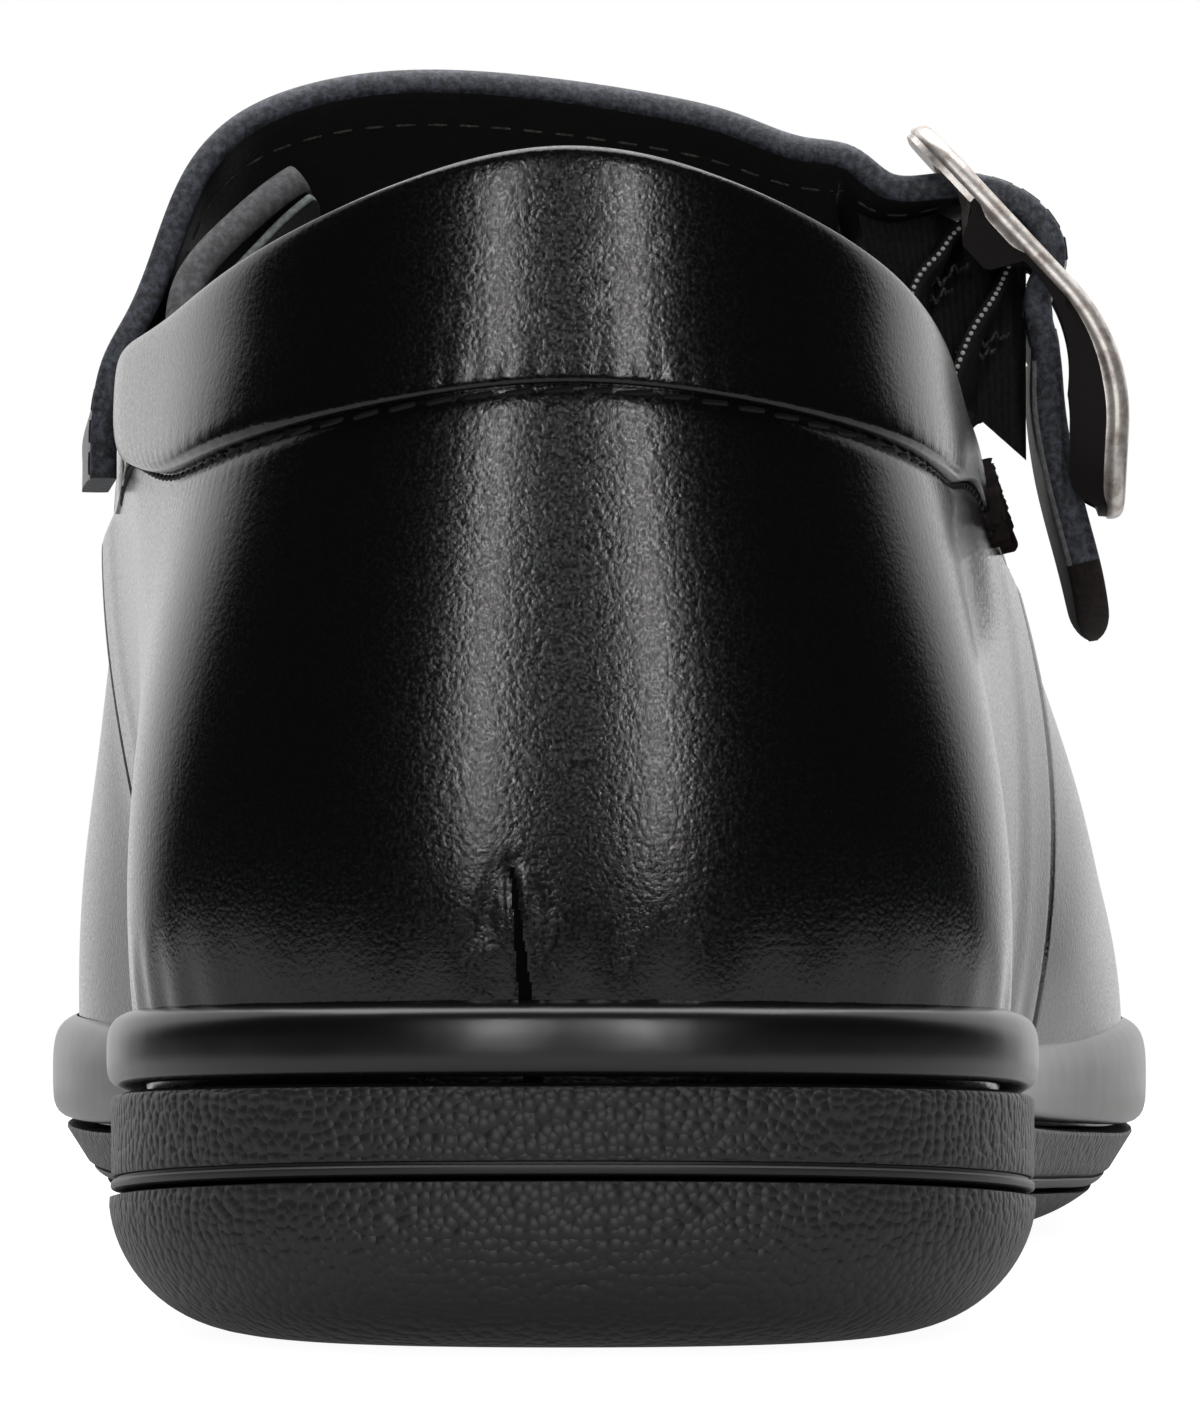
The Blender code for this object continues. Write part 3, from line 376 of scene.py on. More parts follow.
class Wall:
    """Outer face of the upper by u round the foot and v from the seat (0) to the topline (1)."""

    def __init__(self):
        table = columns(UPPER_COLUMNS, UPPER)
        self.knots = [PLAN.find(side, y) for side, y in zip(table["side"], table["foot_y"])]
        self.rows = UPPER[:, 2:]
        self.seam_outer = PLAN.find(1, SEAM_FEATHER_Y[0])
        self.seam_inner = PLAN.find(-1, SEAM_FEATHER_Y[1]) - 1.0

    def section(self, u):
        """Named section values at u."""
        return dict(zip(UPPER_COLUMNS[2:], spline(self.knots, self.rows, np.mod(u, 1.0), 1.0).T))

    def handles(self, u):
        """The four points that bend each wall line."""
        row = self.section(u)
        foot = PLAN.at(u, level("inset", PLAN.at(u)[:, 1]))
        out = PLAN.outward(u)
        start = np.column_stack([foot, level("seat", foot[:, 1]) + JOINT_GAP])
        top = np.column_stack([row["top_x"], row["top_y"], row["top_z"]])
        inward = unit((top - start)[:, :2] - 12.0 * out)
        low_lean = np.radians(row["low_lean"])
        high_lean = np.radians(row["high_lean"])
        low = np.column_stack([out * np.sin(low_lean)[:, None], np.cos(low_lean)])
        high = np.column_stack([inward * np.sin(high_lean)[:, None], np.cos(high_lean)])
        return start, start + low * row["low"][:, None], top - high * row["high"][:, None], top

    def face(self, u, v):
        """Points of the face for u of length n and v of shape n by m: a cubic bend between the handles."""
        a, b, c, d = (handle[:, None, :] for handle in self.handles(u))
        v = v[..., None]
        w = 1 - v
        return w ** 3 * a + 3 * w * w * v * b + 3 * w * v * v * c + v ** 3 * d

    def point(self, u, v, lift=0.0):
        """Points lifted off the face along its outward normal."""
        u = np.asarray(u, float)
        v = np.broadcast_to(np.asarray(v, float), (len(u), np.shape(v)[-1]))
        step = 0.002
        around = self.face(u + step, v) - self.face(u - step, v)
        up = self.face(u, v + step) - self.face(u, v - step)
        lift = np.broadcast_to(np.asarray(lift, float), v.shape)
        return self.face(u, v) + lift[..., None] * unit(np.cross(around, up))

    def along(self, u, v, lift):
        """Points for u and v of equal length."""
        v = np.broadcast_to(np.asarray(v, float), np.shape(u))
        lift = np.broadcast_to(np.asarray(lift, float), np.shape(u))
        return self.point(u, v[:, None], lift[:, None])[:, 0]

    def height(self, u, z):
        """Parameter v at which the wall line at u reaches height z, found by Newton steps."""
        v = np.full(len(u), 0.1)
        for _ in range(8):
            near = self.face(u, v[:, None] + np.array([-0.001, 0.0, 0.001]))[..., 2]
            v = v - (near[:, 1] - z) / (near[:, 2] - near[:, 0]) * 0.002
        return v


WALL_FACE = Wall()


class Buckle:
    """Bent plane of the buckle: straight along the strap's fall, then turned down over a short bend."""

    def __init__(self):
        self.centre = np.array(BUCKLE_CENTRE)
        self.across = spread(np.array([BUCKLE_DROOP]), np.array([BUCKLE_TOE_IN]))[0]
        sideways = np.array([1.0, 0.0, 0.0])
        self.flat = unit(sideways - (sideways @ self.across) * self.across)
        self.rise = np.cross(self.flat, self.across)
        self.run = np.linspace(-30.0, 30.0, 601)
        self.slope = np.radians(np.interp(self.run, BUCKLE_BEND, BUCKLE_SLOPES))
        ahead = np.cumsum(np.cos(self.slope)) * 0.1
        fall = np.cumsum(np.sin(self.slope)) * 0.1
        self.ahead = ahead - ahead[300]
        self.fall = fall - fall[300]

    def at(self, along, side, lift):
        """Points at a run along the bend, a place across and a lift off its middle surface."""
        slope = np.interp(along, self.run, self.slope)
        ahead = np.interp(along, self.run, self.ahead) + lift * np.sin(slope)
        fall = np.interp(along, self.run, self.fall) - lift * np.cos(slope)
        place = self.centre + ahead[..., None] * self.flat - fall[..., None] * self.rise
        return place + np.asarray(side)[..., None] * self.across


def spread(droop, toe_in):
    """Unit vector across a band: towards the toe, drooping, and turned towards the foot."""
    droop = np.radians(droop)
    toe_in = np.radians(toe_in)
    return np.column_stack([-np.sin(toe_in) * np.cos(droop), np.cos(toe_in) * np.cos(droop), -np.sin(droop)])


BUCKLE = Buckle()


# Materials

def linear(code):
    """Linear colour with alpha from an sRGB hex code."""
    parts = [int(code[i:i + 2], 16) / 255 for i in (1, 3, 5)]
    return (*[p / 12.92 if p <= 0.04045 else ((p + 0.055) / 1.055) ** 2.4 for p in parts], 1.0)


def add(tree, kind, links=None, **settings):
    """Add one shader node with its settings; links gives each input a value or another node's output."""
    made = tree.nodes.new("ShaderNode" + kind)
    for key, value in settings.items():
        setattr(made, key, value)
    for socket, value in (links or {}).items():
        if isinstance(value, bpy.types.NodeSocket):
            tree.links.new(value, made.inputs[socket])
        else:
            made.inputs[socket].default_value = value
    return made


def finish(name, colour, **values):
    """New material, its tree, its shader and its object coordinates."""
    made = bpy.data.materials.new(name)
    made.use_nodes = True
    tree = made.node_tree
    shader = tree.nodes["Principled BSDF"]
    shader.inputs["Base Color"].default_value = linear(colour)
    for key, value in values.items():
        shader.inputs[key.replace("_", " ")].default_value = value
    return made, tree, shader, add(tree, "TexCoord").outputs["Object"]


def per_mm(size):
    """Texture scale whose cells are size millimetres across."""
    return 1 / (size * MM)


def dress_leather(name, colour, rough, grain, depth, dust):
    """Corrected-grain leather: black, semi-glossy, with a fine pebble of pores that breaks up each highlight.

    Cells of grain millimetres and finer noise make the pores, and the noise varies the polish too.
    Dust leaves a few pale specks.
    """
    made, tree, shader, place = finish(name, colour)
    cells = add(tree, "TexVoronoi", {"Vector": place, "Scale": per_mm(grain)}, feature="SMOOTH_F1")
    fine = add(tree, "TexNoise", {"Vector": place, "Scale": per_mm(grain * 0.6), "Detail": 2.0})
    height = add(tree, "Math", {0: cells.outputs["Distance"], 1: fine.outputs["Fac"]}, operation="ADD")
    bump = add(tree, "Bump", {"Strength": 0.55, "Distance": depth * MM, "Height": height.outputs[0]})
    tree.links.new(bump.outputs[0], shader.inputs["Normal"])
    gloss = add(tree, "MapRange", {"Value": fine.outputs["Fac"], 1: 0.3, 2: 0.7,
                                   3: rough - 0.07, 4: rough + 0.08})
    tree.links.new(gloss.outputs[0], shader.inputs["Roughness"])
    if dust:
        spots = add(tree, "TexVoronoi", {"Vector": place, "Scale": per_mm(7.5)})
        speck = add(tree, "Math", {0: spots.outputs["Distance"], 1: 0.012}, operation="LESS_THAN")
        tones = {0: speck.outputs[0], 6: linear(colour), 7: linear("#5f5d5a")}
        mixed = add(tree, "Mix", tones, data_type="RGBA")
        tree.links.new(mixed.outputs[2], shader.inputs["Base Color"])
    return made


def dress_rubber(name, colour, rough, pebble, depth):
    """Moulded thermoplastic rubber: dull black, its side textured with small round pebbles that catch light.

    Each pebble is a dome: one minus the square of the distance from a cell's centre.
    """
    made, tree, shader, place = finish(name, colour, Roughness=rough)
    cells = add(tree, "TexVoronoi", {"Vector": place, "Scale": per_mm(pebble), "Randomness": 0.8})
    square = add(tree, "Math", {0: cells.outputs["Distance"], 1: 2.0}, operation="POWER")
    bump = add(tree, "Bump", {"Strength": 0.9, "Distance": -depth * MM, "Height": square.outputs[0]})
    tree.links.new(bump.outputs[0], shader.inputs["Normal"])
    return made


def dress_smooth(name, colour, rough, wave, depth, **values):
    """Smooth moulded, plated or painted face: even gloss with the slight unevenness of wave millimetres."""
    made, tree, shader, place = finish(name, colour, Roughness=rough, **values)
    drift = add(tree, "TexNoise", {"Vector": place, "Scale": per_mm(wave), "Detail": 2.0})
    bump = add(tree, "Bump", {"Strength": 0.5, "Distance": depth * MM, "Height": drift.outputs["Fac"]})
    tree.links.new(bump.outputs[0], shader.inputs["Normal"])
    return made


def dress_speckled(name, colour, light, rough, grain, depth, **values):
    """Cut edge, woven yarn or scuffed plate: mottled between two tones at a fibre's or scuff's width."""
    made, tree, shader, place = finish(name, colour, Roughness=rough, **values)
    fibre = add(tree, "TexNoise", {"Vector": place, "Scale": per_mm(grain), "Detail": 4.0, "Roughness": 0.65})
    share = add(tree, "MapRange", {"Value": fibre.outputs["Fac"], 1: 0.42, 2: 0.68})
    mixed = add(tree, "Mix", {0: share.outputs[0], 6: linear(colour), 7: linear(light)}, data_type="RGBA")
    tree.links.new(mixed.outputs[2], shader.inputs["Base Color"])
    bump = add(tree, "Bump", {"Strength": 0.7, "Distance": depth * MM, "Height": fibre.outputs["Fac"]})
    tree.links.new(bump.outputs[0], shader.inputs["Normal"])
    return made


# Polished finish over fine grain: deep black with bright highlights broken by the pores
LEATHER = dress_leather("black_corrected_grain_leather", "#0c0c0d", 0.18, 0.42, 0.026, True)
# Less polished strap leather: black with a dull sheen
STRAP_LEATHER = dress_leather("black_strap_leather", "#101011", 0.38, 0.42, 0.045, False)
# Rubbed lining: dark and matt
LINING = dress_leather("black_lining_leather", "#1a1716", 0.62, 0.6, 0.05, False)
# Worn sock: charcoal and matt
SOCK = dress_leather("charcoal_sock_leather", "#262322", 0.6, 0.6, 0.05, False)
# Moulded pebbles: dull black with small glints; drawn a little coarse so that they show
PEBBLED = dress_rubber("pebbled_black_rubber", "#1d1d1f", 0.44, 0.8, 0.3)
# Smooth moulded bead: an even, dull gloss
PLAIN_RUBBER = dress_smooth("smooth_black_rubber", "#1b1b1d", 0.42, 3.0, 0.03)
# Lacquered band: black with long, clear reflections
GLOSS_RUBBER = dress_smooth("glossy_black_rubber", "#0c0c0d", 0.26, 8.0, 0.2, Specular_IOR_Level=0.7)
# Inked cut edge: blue-grey specks on near-black
EDGE_PAINT = dress_speckled("inked_leather_edge", "#25262b", "#565b68", 0.6, 0.5, 0.08)
# Bare cut edge: mid grey and fibrous
TAB_EDGE = dress_speckled("bare_leather_edge", "#4a4a4c", "#6d6d70", 0.7, 0.6, 0.06)
# Backing cloth: pale grey-green and matt
BACKING = dress_speckled("grey_tab_backing", "#6f7674", "#98a09d", 0.75, 0.5, 0.05)
# Woven yarn: black that swallows light
WEBBING = dress_speckled("black_woven_elastic", "#111011", "#262425", 0.85, 0.35, 0.08)
# Waxed sewing thread: black and matt
THREAD = dress_speckled("black_bonded_thread", "#08080a", "#141416", 0.85, 0.2, 0.04)
# Inside of the dart's slit: painted shade, the darkest place, without shine
SHADED_SLIT = dress_smooth("painted_shade_dart_slit", "#060607", 0.9, 0.6, 0.02, Specular_IOR_Level=0.05)
# Broken yarn ends: grey fuzz
FRAY = dress_speckled("frayed_yarn", "#2a2828", "#77736f", 0.8, 0.4, 0.02)
# Cut end of webbing and strap: dark brown and rough
RAW_END = dress_speckled("raw_brown_webbing_end", "#120b0a", "#2b1d18", 0.9, 0.5, 0.12)
# Thread with dust on it: a dashed grey line
PALE_THREAD = dress_speckled("dusty_lining_thread", "#3a3735", "#6a6560", 0.85, 0.3, 0.03)
# Cut lining: a light grey line beside the inked edge
LINING_EDGE = dress_speckled("pale_lining_edge", "#77767a", "#a3a2a2", 0.75, 0.5, 0.04)
# Cut rubber cores: a row of off-white dots
BEAD = dress_smooth("rubber_thread_ends", "#d9d7d2", 0.3, 0.5, 0.01)
# Worn nickel plate: pale satin mottled by scuffs; dirt and lacquer keep it from a full mirror
NICKEL = dress_speckled("scuffed_nickel_plate", "#e6dfd9", "#a09189", 0.36, 1.5, 0.02, Metallic=0.6)
# Inner side of the frame: painted shade, dark and nearly without shine
PAINTED_SHADE_SKIRT = dress_smooth("painted_shade_frame_side", "#140f0e", 0.62, 2.0, 0.02, Specular_IOR_Level=0.2)


# Meshes

def grid_faces(rows, cols, wrap_rows=False, wrap_cols=False):
    """Quads between the neighbours of a grid, also across its ends where it wraps."""
    i = np.arange(rows if wrap_rows else rows - 1)[:, None]
    j = np.arange(cols if wrap_cols else cols - 1)[None, :]
    right = (j + 1) % cols
    below = (i + 1) % rows
    corners = np.broadcast_arrays(i * cols + j, i * cols + right, below * cols + right, below * cols + j)
    return np.stack(corners, axis=-1).reshape(-1, 4)


def cap_faces(ring):
    """Quads from side to side across an even ring of point numbers."""
    half = len(ring) // 2
    i = np.arange(half - 1)
    return np.stack([ring[i], ring[i + 1], ring[len(ring) - 2 - i], ring[len(ring) - 1 - i]], axis=-1)


def loft(grid, wrap=False):
    """Points and faces of closed rings in a row, capped at both ends or joined last to first."""
    rows, cols = grid.shape[:2]
    faces = [grid_faces(rows, cols, wrap, True)]
    if not wrap:
        faces.append(cap_faces(np.arange(cols)[::-1]))
        faces.append(cap_faces(np.arange(cols) + (rows - 1) * cols))
    return grid.reshape(-1, 3), np.vstack(faces)


def slab(outer, inner):
    """Points and faces of a sheet with thickness: outer grid, inner grid and the rim that joins them."""
    rows, cols = outer.shape[:2]
    near = np.arange(rows * cols).reshape(rows, cols)
    far = near + rows * cols
    top = grid_faces(rows, cols)
    rim = []
    for edge, back in ((near[0, ::-1], far[0, ::-1]), (near[-1], far[-1]),
                       (near[:, 0], far[:, 0]), (near[::-1, -1], far[::-1, -1])):
        rim.append(np.stack([edge[:-1], edge[1:], back[1:], back[:-1]], axis=-1))
    faces = np.vstack([top, top[:, ::-1] + rows * cols, *rim])
    return np.vstack([outer.reshape(-1, 3), inner.reshape(-1, 3)]), faces


def piece(name, body, finishes, node=None, looks=None, sharp=35.0):
    """Object from points in shoe millimetres and quads, facing outwards, riding on the shoe."""
    points, faces = body
    place = (points - SHIFT) * MM
    a, b, c, d = (place[faces[:, k]] for k in range(4))
    if np.sum(np.cross(a, b) * c) + np.sum(np.cross(a, c) * d) < 0:
        faces = faces[:, ::-1]
    mesh = bpy.data.meshes.new(name)
    mesh.from_pydata(place.tolist(), [], faces.tolist())
    for look in finishes:
        mesh.materials.append(look)
    if looks is not None:
        mesh.polygons.foreach_set("material_index", np.asarray(looks, np.int32))
    mesh.polygons.foreach_set("use_smooth", np.ones(len(faces), bool))
    mesh.set_sharp_from_angle(angle=math.radians(sharp))
    mesh.update()
    made = bpy.data.objects.new(name, mesh)
    bpy.context.scene.collection.objects.link(made)
    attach(made, "root")
    if node:
        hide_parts(node)
    return made


def copies(template, places, axes):
    """Points and faces of one small body put at many places, each turned to its own three axes."""
    points, faces = template
    many = places[:, None, :] + np.einsum("pk,nkc->npc", points, axes)
    steps = np.arange(len(places)) * len(points)
    return many.reshape(-1, 3), (faces[None] + steps[:, None, None]).reshape(-1, 4)


def capsule(length, radius, around=6, rows=7):
    """Rounded rod along the first axis."""
    turn = np.linspace(-math.pi / 2, math.pi / 2, rows)
    along = (length / 2 - radius) * np.sign(turn) + radius * np.sin(turn)
    wide = radius * np.maximum(np.cos(turn), 0.15)
    angle = (np.arange(around) + 0.5) / around * 2 * math.pi
    rings = along[:, None], wide[:, None] * np.cos(angle), wide[:, None] * np.sin(angle)
    return loft(np.stack(np.broadcast_arrays(*rings), -1))


def frames(path):
    """Unit vectors along a path and two across it."""
    along = unit(np.gradient(path, axis=0))
    side = unit(np.cross(along, np.array([0.13, 0.31, 0.94])))
    return np.stack([along, side, np.cross(along, side)], axis=1)


def tube(path, radius, around=10):
    """Round wire along a path; radius may change along it."""
    axes = frames(path)
    angle = (np.arange(around) + 0.5) / around * 2 * math.pi
    radius = np.broadcast_to(radius, len(path))[:, None, None]
    ring = np.cos(angle)[None, :, None] * axes[:, None, 1] + np.sin(angle)[None, :, None] * axes[:, None, 2]
    return loft(path[:, None, :] + radius * ring)


def join(bodies):
    """Several bodies as one."""
    start = 0
    points = []
    faces = []
    for body in bodies:
        points.append(body[0])
        faces.append(body[1] + start)
        start += len(body[0])
    return np.vstack(points), np.vstack(faces)


# Sole

def sole_inset(y, height):
    """How far the rounded lower edge stands in from the plan at a height above the ground side."""
    part = np.clip(1 - height / level("rise", y), 0, 1)
    return level("round", y) * (1 - np.sqrt(1 - part ** 2))


def sole_ring(u, height, extra, base):
    """Plan ring at a height above the named level, following the rounded edge and a further inset."""
    y = PLAN.at(u)[:, 1]
    above = level(base, y) - level("floor", y) + height
    place = PLAN.at(u, sole_inset(y, above) + extra)
    floor = level("floor", place[:, 1])
    rise = np.where(above > 0, level(base, place[:, 1]) - floor + height, 0.0)
    return np.column_stack([place, floor + rise])


def shrink(ring, share):
    """Ring drawn in towards the sole's middle line, where each point meets the one across from it."""
    middle = (ring + ring[::-1]) / 2
    return middle + share * (ring - middle)


SOLE_COUNT = 720
SOLE_U = (np.arange(SOLE_COUNT) + 0.5) / SOLE_COUNT
TREAD_PITCH = 5.0
TREAD_DEPTH = 0.9


def make_outsole():
    """Ground rubber: rounded pebbled side from the tread to the joint; the tread has shallow wavy grooves."""
    y = PLAN.at(SOLE_U)[:, 1]
    full = level("joint", y) - level("floor", y)
    edge = sole_ring(SOLE_U, 0.0, 0.0, "floor")
    under = []
    for share in np.linspace(0.02, 0.98, 46):
        ring = shrink(edge, share)
        ring[:, 2] = level("floor", ring[:, 1])
        wave = np.abs(np.mod((ring[:, 1] + 3.0 * np.sin(ring[:, 0] / 5.5)) / TREAD_PITCH, 1.0) - 0.5)
        inside = smooth(0.98, 0.9, share)
        ring[:, 2] += TREAD_DEPTH * inside * smooth(0.34, 0.44, wave)
        under.append(ring)
    side = [sole_ring(SOLE_U, share * full, 0.0, "floor") for share in np.linspace(0.0, 0.95, 20) ** 1.6]
    lip = [sole_ring(SOLE_U, -0.12, 0.08, "joint"), sole_ring(SOLE_U, 0.0, 0.5, "joint")]
    top = [shrink(lip[-1], share) for share in (0.7, 0.02)]
    grid = np.array(under + side + lip + top)
    return piece("outsole_rubber", loft(grid), [PEBBLED], "outsole")


def make_midsole():
    """Wedge: a smooth bead along its lower edge, a groove, then a recessed pebbled band."""
    profile = [("joint", JOINT_GAP, 1.0), ("joint", 0.36, 0.4), ("joint", 0.46, 0.22), ("joint", 0.66, 0.15),
               ("joint", 0.9, 0.17), ("joint", 1.06, 0.3), ("joint", 1.12, 0.6), ("joint", 1.26, 0.6),
               ("joint", 1.34, 0.3), ("joint", 1.5, 0.2)]
    rings = [sole_ring(SOLE_U, height, extra, base) for base, height, extra in profile]
    low = rings[-1]
    high = sole_ring(SOLE_U, -0.5, 0.2, "seat")
    band = [low + share * (high - low) for share in np.linspace(0.15, 1.0, 7)]
    lip = [sole_ring(SOLE_U, -0.25, 0.35, "seat"), sole_ring(SOLE_U, 0.0, 1.3, "seat")]
    bottom = [shrink(rings[0], share) for share in (0.02, 0.7)]
    top = [shrink(lip[-1], share) for share in (0.7, 0.02)]
    grid = np.array(bottom + rings + band + lip + top)
    body = loft(grid)
    smooth_rows = len(bottom) + 8
    looks = np.zeros(len(body[1]), int)
    looks[:smooth_rows * SOLE_COUNT] = 1
    return piece("midsole_rubber", body, [PEBBLED, PLAIN_RUBBER], "midsole", looks)


def make_rand():
    """Glossy rounded band on the midsole's edge: an outward swell, a rolled top and an inner side."""
    y = PLAN.at(SOLE_U)[:, 1]
    tall = level("rand", y) - level("seat", y)
    swell = np.array([(0.0, 1.3), (0.02, 0.6), (0.08, 0.15), (0.22, -0.08), (0.45, -0.12),
                      (0.68, -0.05), (0.85, 0.3), (0.95, 1.0), (1.0, 1.8)])
    shape = spline(run_of(swell * (5.4, 1.0)), swell, np.linspace(0, run_of(swell * (5.4, 1.0))[-1], 22))
    rings = []
    for share, inset in shape:
        place = PLAN.at(SOLE_U, inset)
        rings.append(np.column_stack([place, level("seat", place[:, 1]) + RAND_GAP + share * tall]))
    foot = WALL_FACE.handles(SOLE_U)[0][:, 2]
    wrapped = np.where(SOLE_U > 0.5, SOLE_U - 1, SOLE_U)
    step = QUARTER_STEP * ((wrapped < WALL_FACE.seam_outer) & (wrapped > WALL_FACE.seam_inner))
    for share in (0.9, 0.5, 0.1):
        v = WALL_FACE.height(SOLE_U, foot + share * tall)
        rings.append(WALL_FACE.along(SOLE_U, v, step + 0.1))
    return piece("rand_gloss", loft(np.array(rings), True), [GLOSS_RUBBER], "rand", sharp=60.0)


def make_insole():
    """Sock on the floor of the upper, with a rounded edge and a slight hollow."""
    edge = level("inset", PLAN.at(SOLE_U)[:, 1]) + WALL + JOINT_GAP
    rings = []
    for height, extra in ((JOINT_GAP, 0.0), (2.2, 0.0), (2.8, 0.3), (3.1, 0.8), (INSOLE_THICK, 1.6)):
        place = PLAN.at(SOLE_U, edge + extra)
        rings.append(np.column_stack([place, level("seat", place[:, 1]) + height]))
    for share in (0.8, 0.55, 0.3, 0.02):
        ring = shrink(rings[4], share)
        ring[:, 2] = level("seat", ring[:, 1]) + INSOLE_THICK
        rings.append(ring)
    bottom = [shrink(rings[0], share) for share in (0.02, 0.6)]
    return piece("insole_sock", loft(np.array(bottom + rings)), [SOCK], "insole", sharp=60.0)


# Upper

def creases(place, rows):
    """Lift of the heel's creases: each a soft trough with a low ridge on both sides, fading at its ends."""
    lift = np.zeros(place.shape[:-1])
    rear = smooth(60.0, 40.0, place[..., 1])
    for row in rows:
        x, z, length, slope, width, depth = row
        c = math.cos(math.radians(slope))
        s = math.sin(math.radians(slope))
        along = (place[..., 0] - x) * c + (place[..., 2] - z) * s
        off = (place[..., 2] - z) * c - (place[..., 0] - x) * s
        fade = np.exp(-(along / (0.5 * length)) ** 4)
        trough = np.exp(-(off / width) ** 2)
        ridge = np.exp(-((np.abs(off) - 2.4 * width) / (1.2 * width)) ** 2)
        lift -= depth * rear * fade * (trough - 0.22 * ridge)
    return lift


def ripple(run, pitch):
    """Uneven wave along a run, from sines whose lengths don't divide each other."""
    wave = np.sin(run * 2 * math.pi / pitch + 1.3 * np.sin(run / 5.1))
    return wave * (0.65 + 0.35 * np.sin(run / 7.7 + 0.4))


def rear_columns(start, end, fine, coarse):
    """Values of u from start to end, close together round the heel's middle and wider apart elsewhere."""
    span = PLAN.length(np.array([start, end]))
    run = [span[0]]
    while run[-1] < span[1]:
        run.append(run[-1] + fine + (coarse - fine) * float(smooth(6.0, 16.0, abs(run[-1] + 3.0))))
    run = np.clip(np.array(run), span[0], span[1])
    u = np.linspace(start, end, 4001)
    return np.interp(run, PLAN.length(u), u)


def line_length(u):
    """Length of the wall lines at u."""
    points = WALL_FACE.face(u, np.broadcast_to(np.linspace(0, 1, 30), (len(u), 30)))
    return np.linalg.norm(np.diff(points, axis=1), axis=2).sum(axis=1)


def quarter_lift(u, v):
    """Lift of the quarters: thickness, round front edge, stitch groove, stiffener edge, creases, puckers."""
    run = PLAN.length(u)[:, None]
    ahead = np.minimum(PLAN.length(np.array([WALL_FACE.seam_outer]))[0] - run,
                       run - PLAN.length(np.array([WALL_FACE.seam_inner]))[0])
    lift = QUARTER_STEP * np.sqrt(np.clip(1 - (1 - np.clip(ahead / 0.7, 0, 1)) ** 2, 0, 1))
    lift = lift - 0.34 * np.exp(-((ahead - 1.9) / 0.42) ** 2)
    lift = lift - 0.22 * smooth(9.0, 14.5, ahead) * smooth(60.0, 30.0, ahead) + 0.1
    place = WALL_FACE.face(u, v)
    lift = lift + creases(place, HEEL_CREASES)
    seam = WALL_FACE.section(u)["collar"][:, None]
    below = (seam - v) * line_length(u)[:, None]
    sides = smooth(11.0, 21.0, np.abs(place[..., 0]))
    pad = np.clip(WALL_FACE.section(u)["pad"], 0, 1)[:, None]
    near_seam = np.exp(-np.abs(below) / 2.6) * smooth(-1.0, 0.5, below)
    lift = lift + 0.07 * pad * sides * ripple(run, 1.5) * near_seam
    lift = lift - 0.3 * pad * np.exp(-(below / 0.7) ** 2) - 0.9 * smooth(0.0, -3.5, below)
    foot = v * line_length(u)[:, None]
    lift = lift + 0.12 * ripple(run + 3.0, 6.3) * np.exp(-((foot - 5.5) / 3.5) ** 2)
    return lift


def make_quarters():
    """Rear leather, one sheet round the heel from seam to seam; the dart's slit, painted as matt shade,
    widens downwards.
    """
    u = rear_columns(WALL_FACE.seam_inner, WALL_FACE.seam_outer, 0.16, 0.58)
    v = np.broadcast_to(np.linspace(0, 1, 90), (len(u), 90))
    outer = WALL_FACE.point(u, v, quarter_lift(u, v))
    inner = WALL_FACE.point(u, v, -0.15)
    body = slab(outer, inner)
    middle = body[0][body[1]].mean(axis=1)
    top, bottom, narrow, wide = DART_SLIT
    share = (top[1] - middle[:, 2]) / (top[1] - bottom[1])
    off = np.abs(middle[:, 0] - top[0] - share * (bottom[0] - top[0]))
    # Faces inside the slit take the painted shade
    slit = (off < narrow + share * (wide - narrow)) & (share > 0) & (middle[:, 1] < 30.0)
    return piece("quarter_leather", body, [LEATHER, SHADED_SLIT], "upper", slit, sharp=50.0)


def make_vamp():
    """Front leather round the toe, its rear edges under the quarters and its throat edge rounded."""
    start = WALL_FACE.seam_outer - 0.012
    end = WALL_FACE.seam_inner + 1.012
    u = np.linspace(start, end, 430)
    rows = 1 - np.linspace(1, 0, 96) ** 1.25
    v = np.broadcast_to(rows, (len(u), 96))
    edge = np.minimum(u - WALL_FACE.seam_outer, WALL_FACE.seam_inner + 1 - u)[:, None]
    top = (1 - v) * line_length(u)[:, None]
    roll = -1.1 * (1 - np.sqrt(np.clip(1 - (1 - np.clip(top / 1.1, 0, 1)) ** 2, 0, 1)))
    groove = -0.22 * np.exp(-((top - 2.6) / 0.45) ** 2)
    lift = roll + groove - 0.35 * smooth(0.001, -0.003, edge)
    outer = WALL_FACE.point(u, v, lift)
    inner = WALL_FACE.point(u, v, -1.25)
    return piece("vamp_leather", slab(outer, inner), [LEATHER], "upper", sharp=50.0)


def make_lining():
    """Inner wall all round the foot, from the seat to just under the topline."""
    u = (np.arange(300) + 0.5) / 300
    rows = np.linspace(0.0, 0.985, 40)
    outer = WALL_FACE.point(u, np.broadcast_to(rows, (300, 40)), -1.2)
    inner = WALL_FACE.point(u, np.broadcast_to(rows[::-1], (300, 40)), -WALL)
    grid = np.concatenate([outer, inner], axis=1)
    return piece("wall_lining", loft(grid, True), [LINING], "upper", sharp=50.0)


COLLAR_FRONT_Y = 97.0
HEEL_FLATTEN = 0.6
HEEL_FLAT_REACH = 24.0


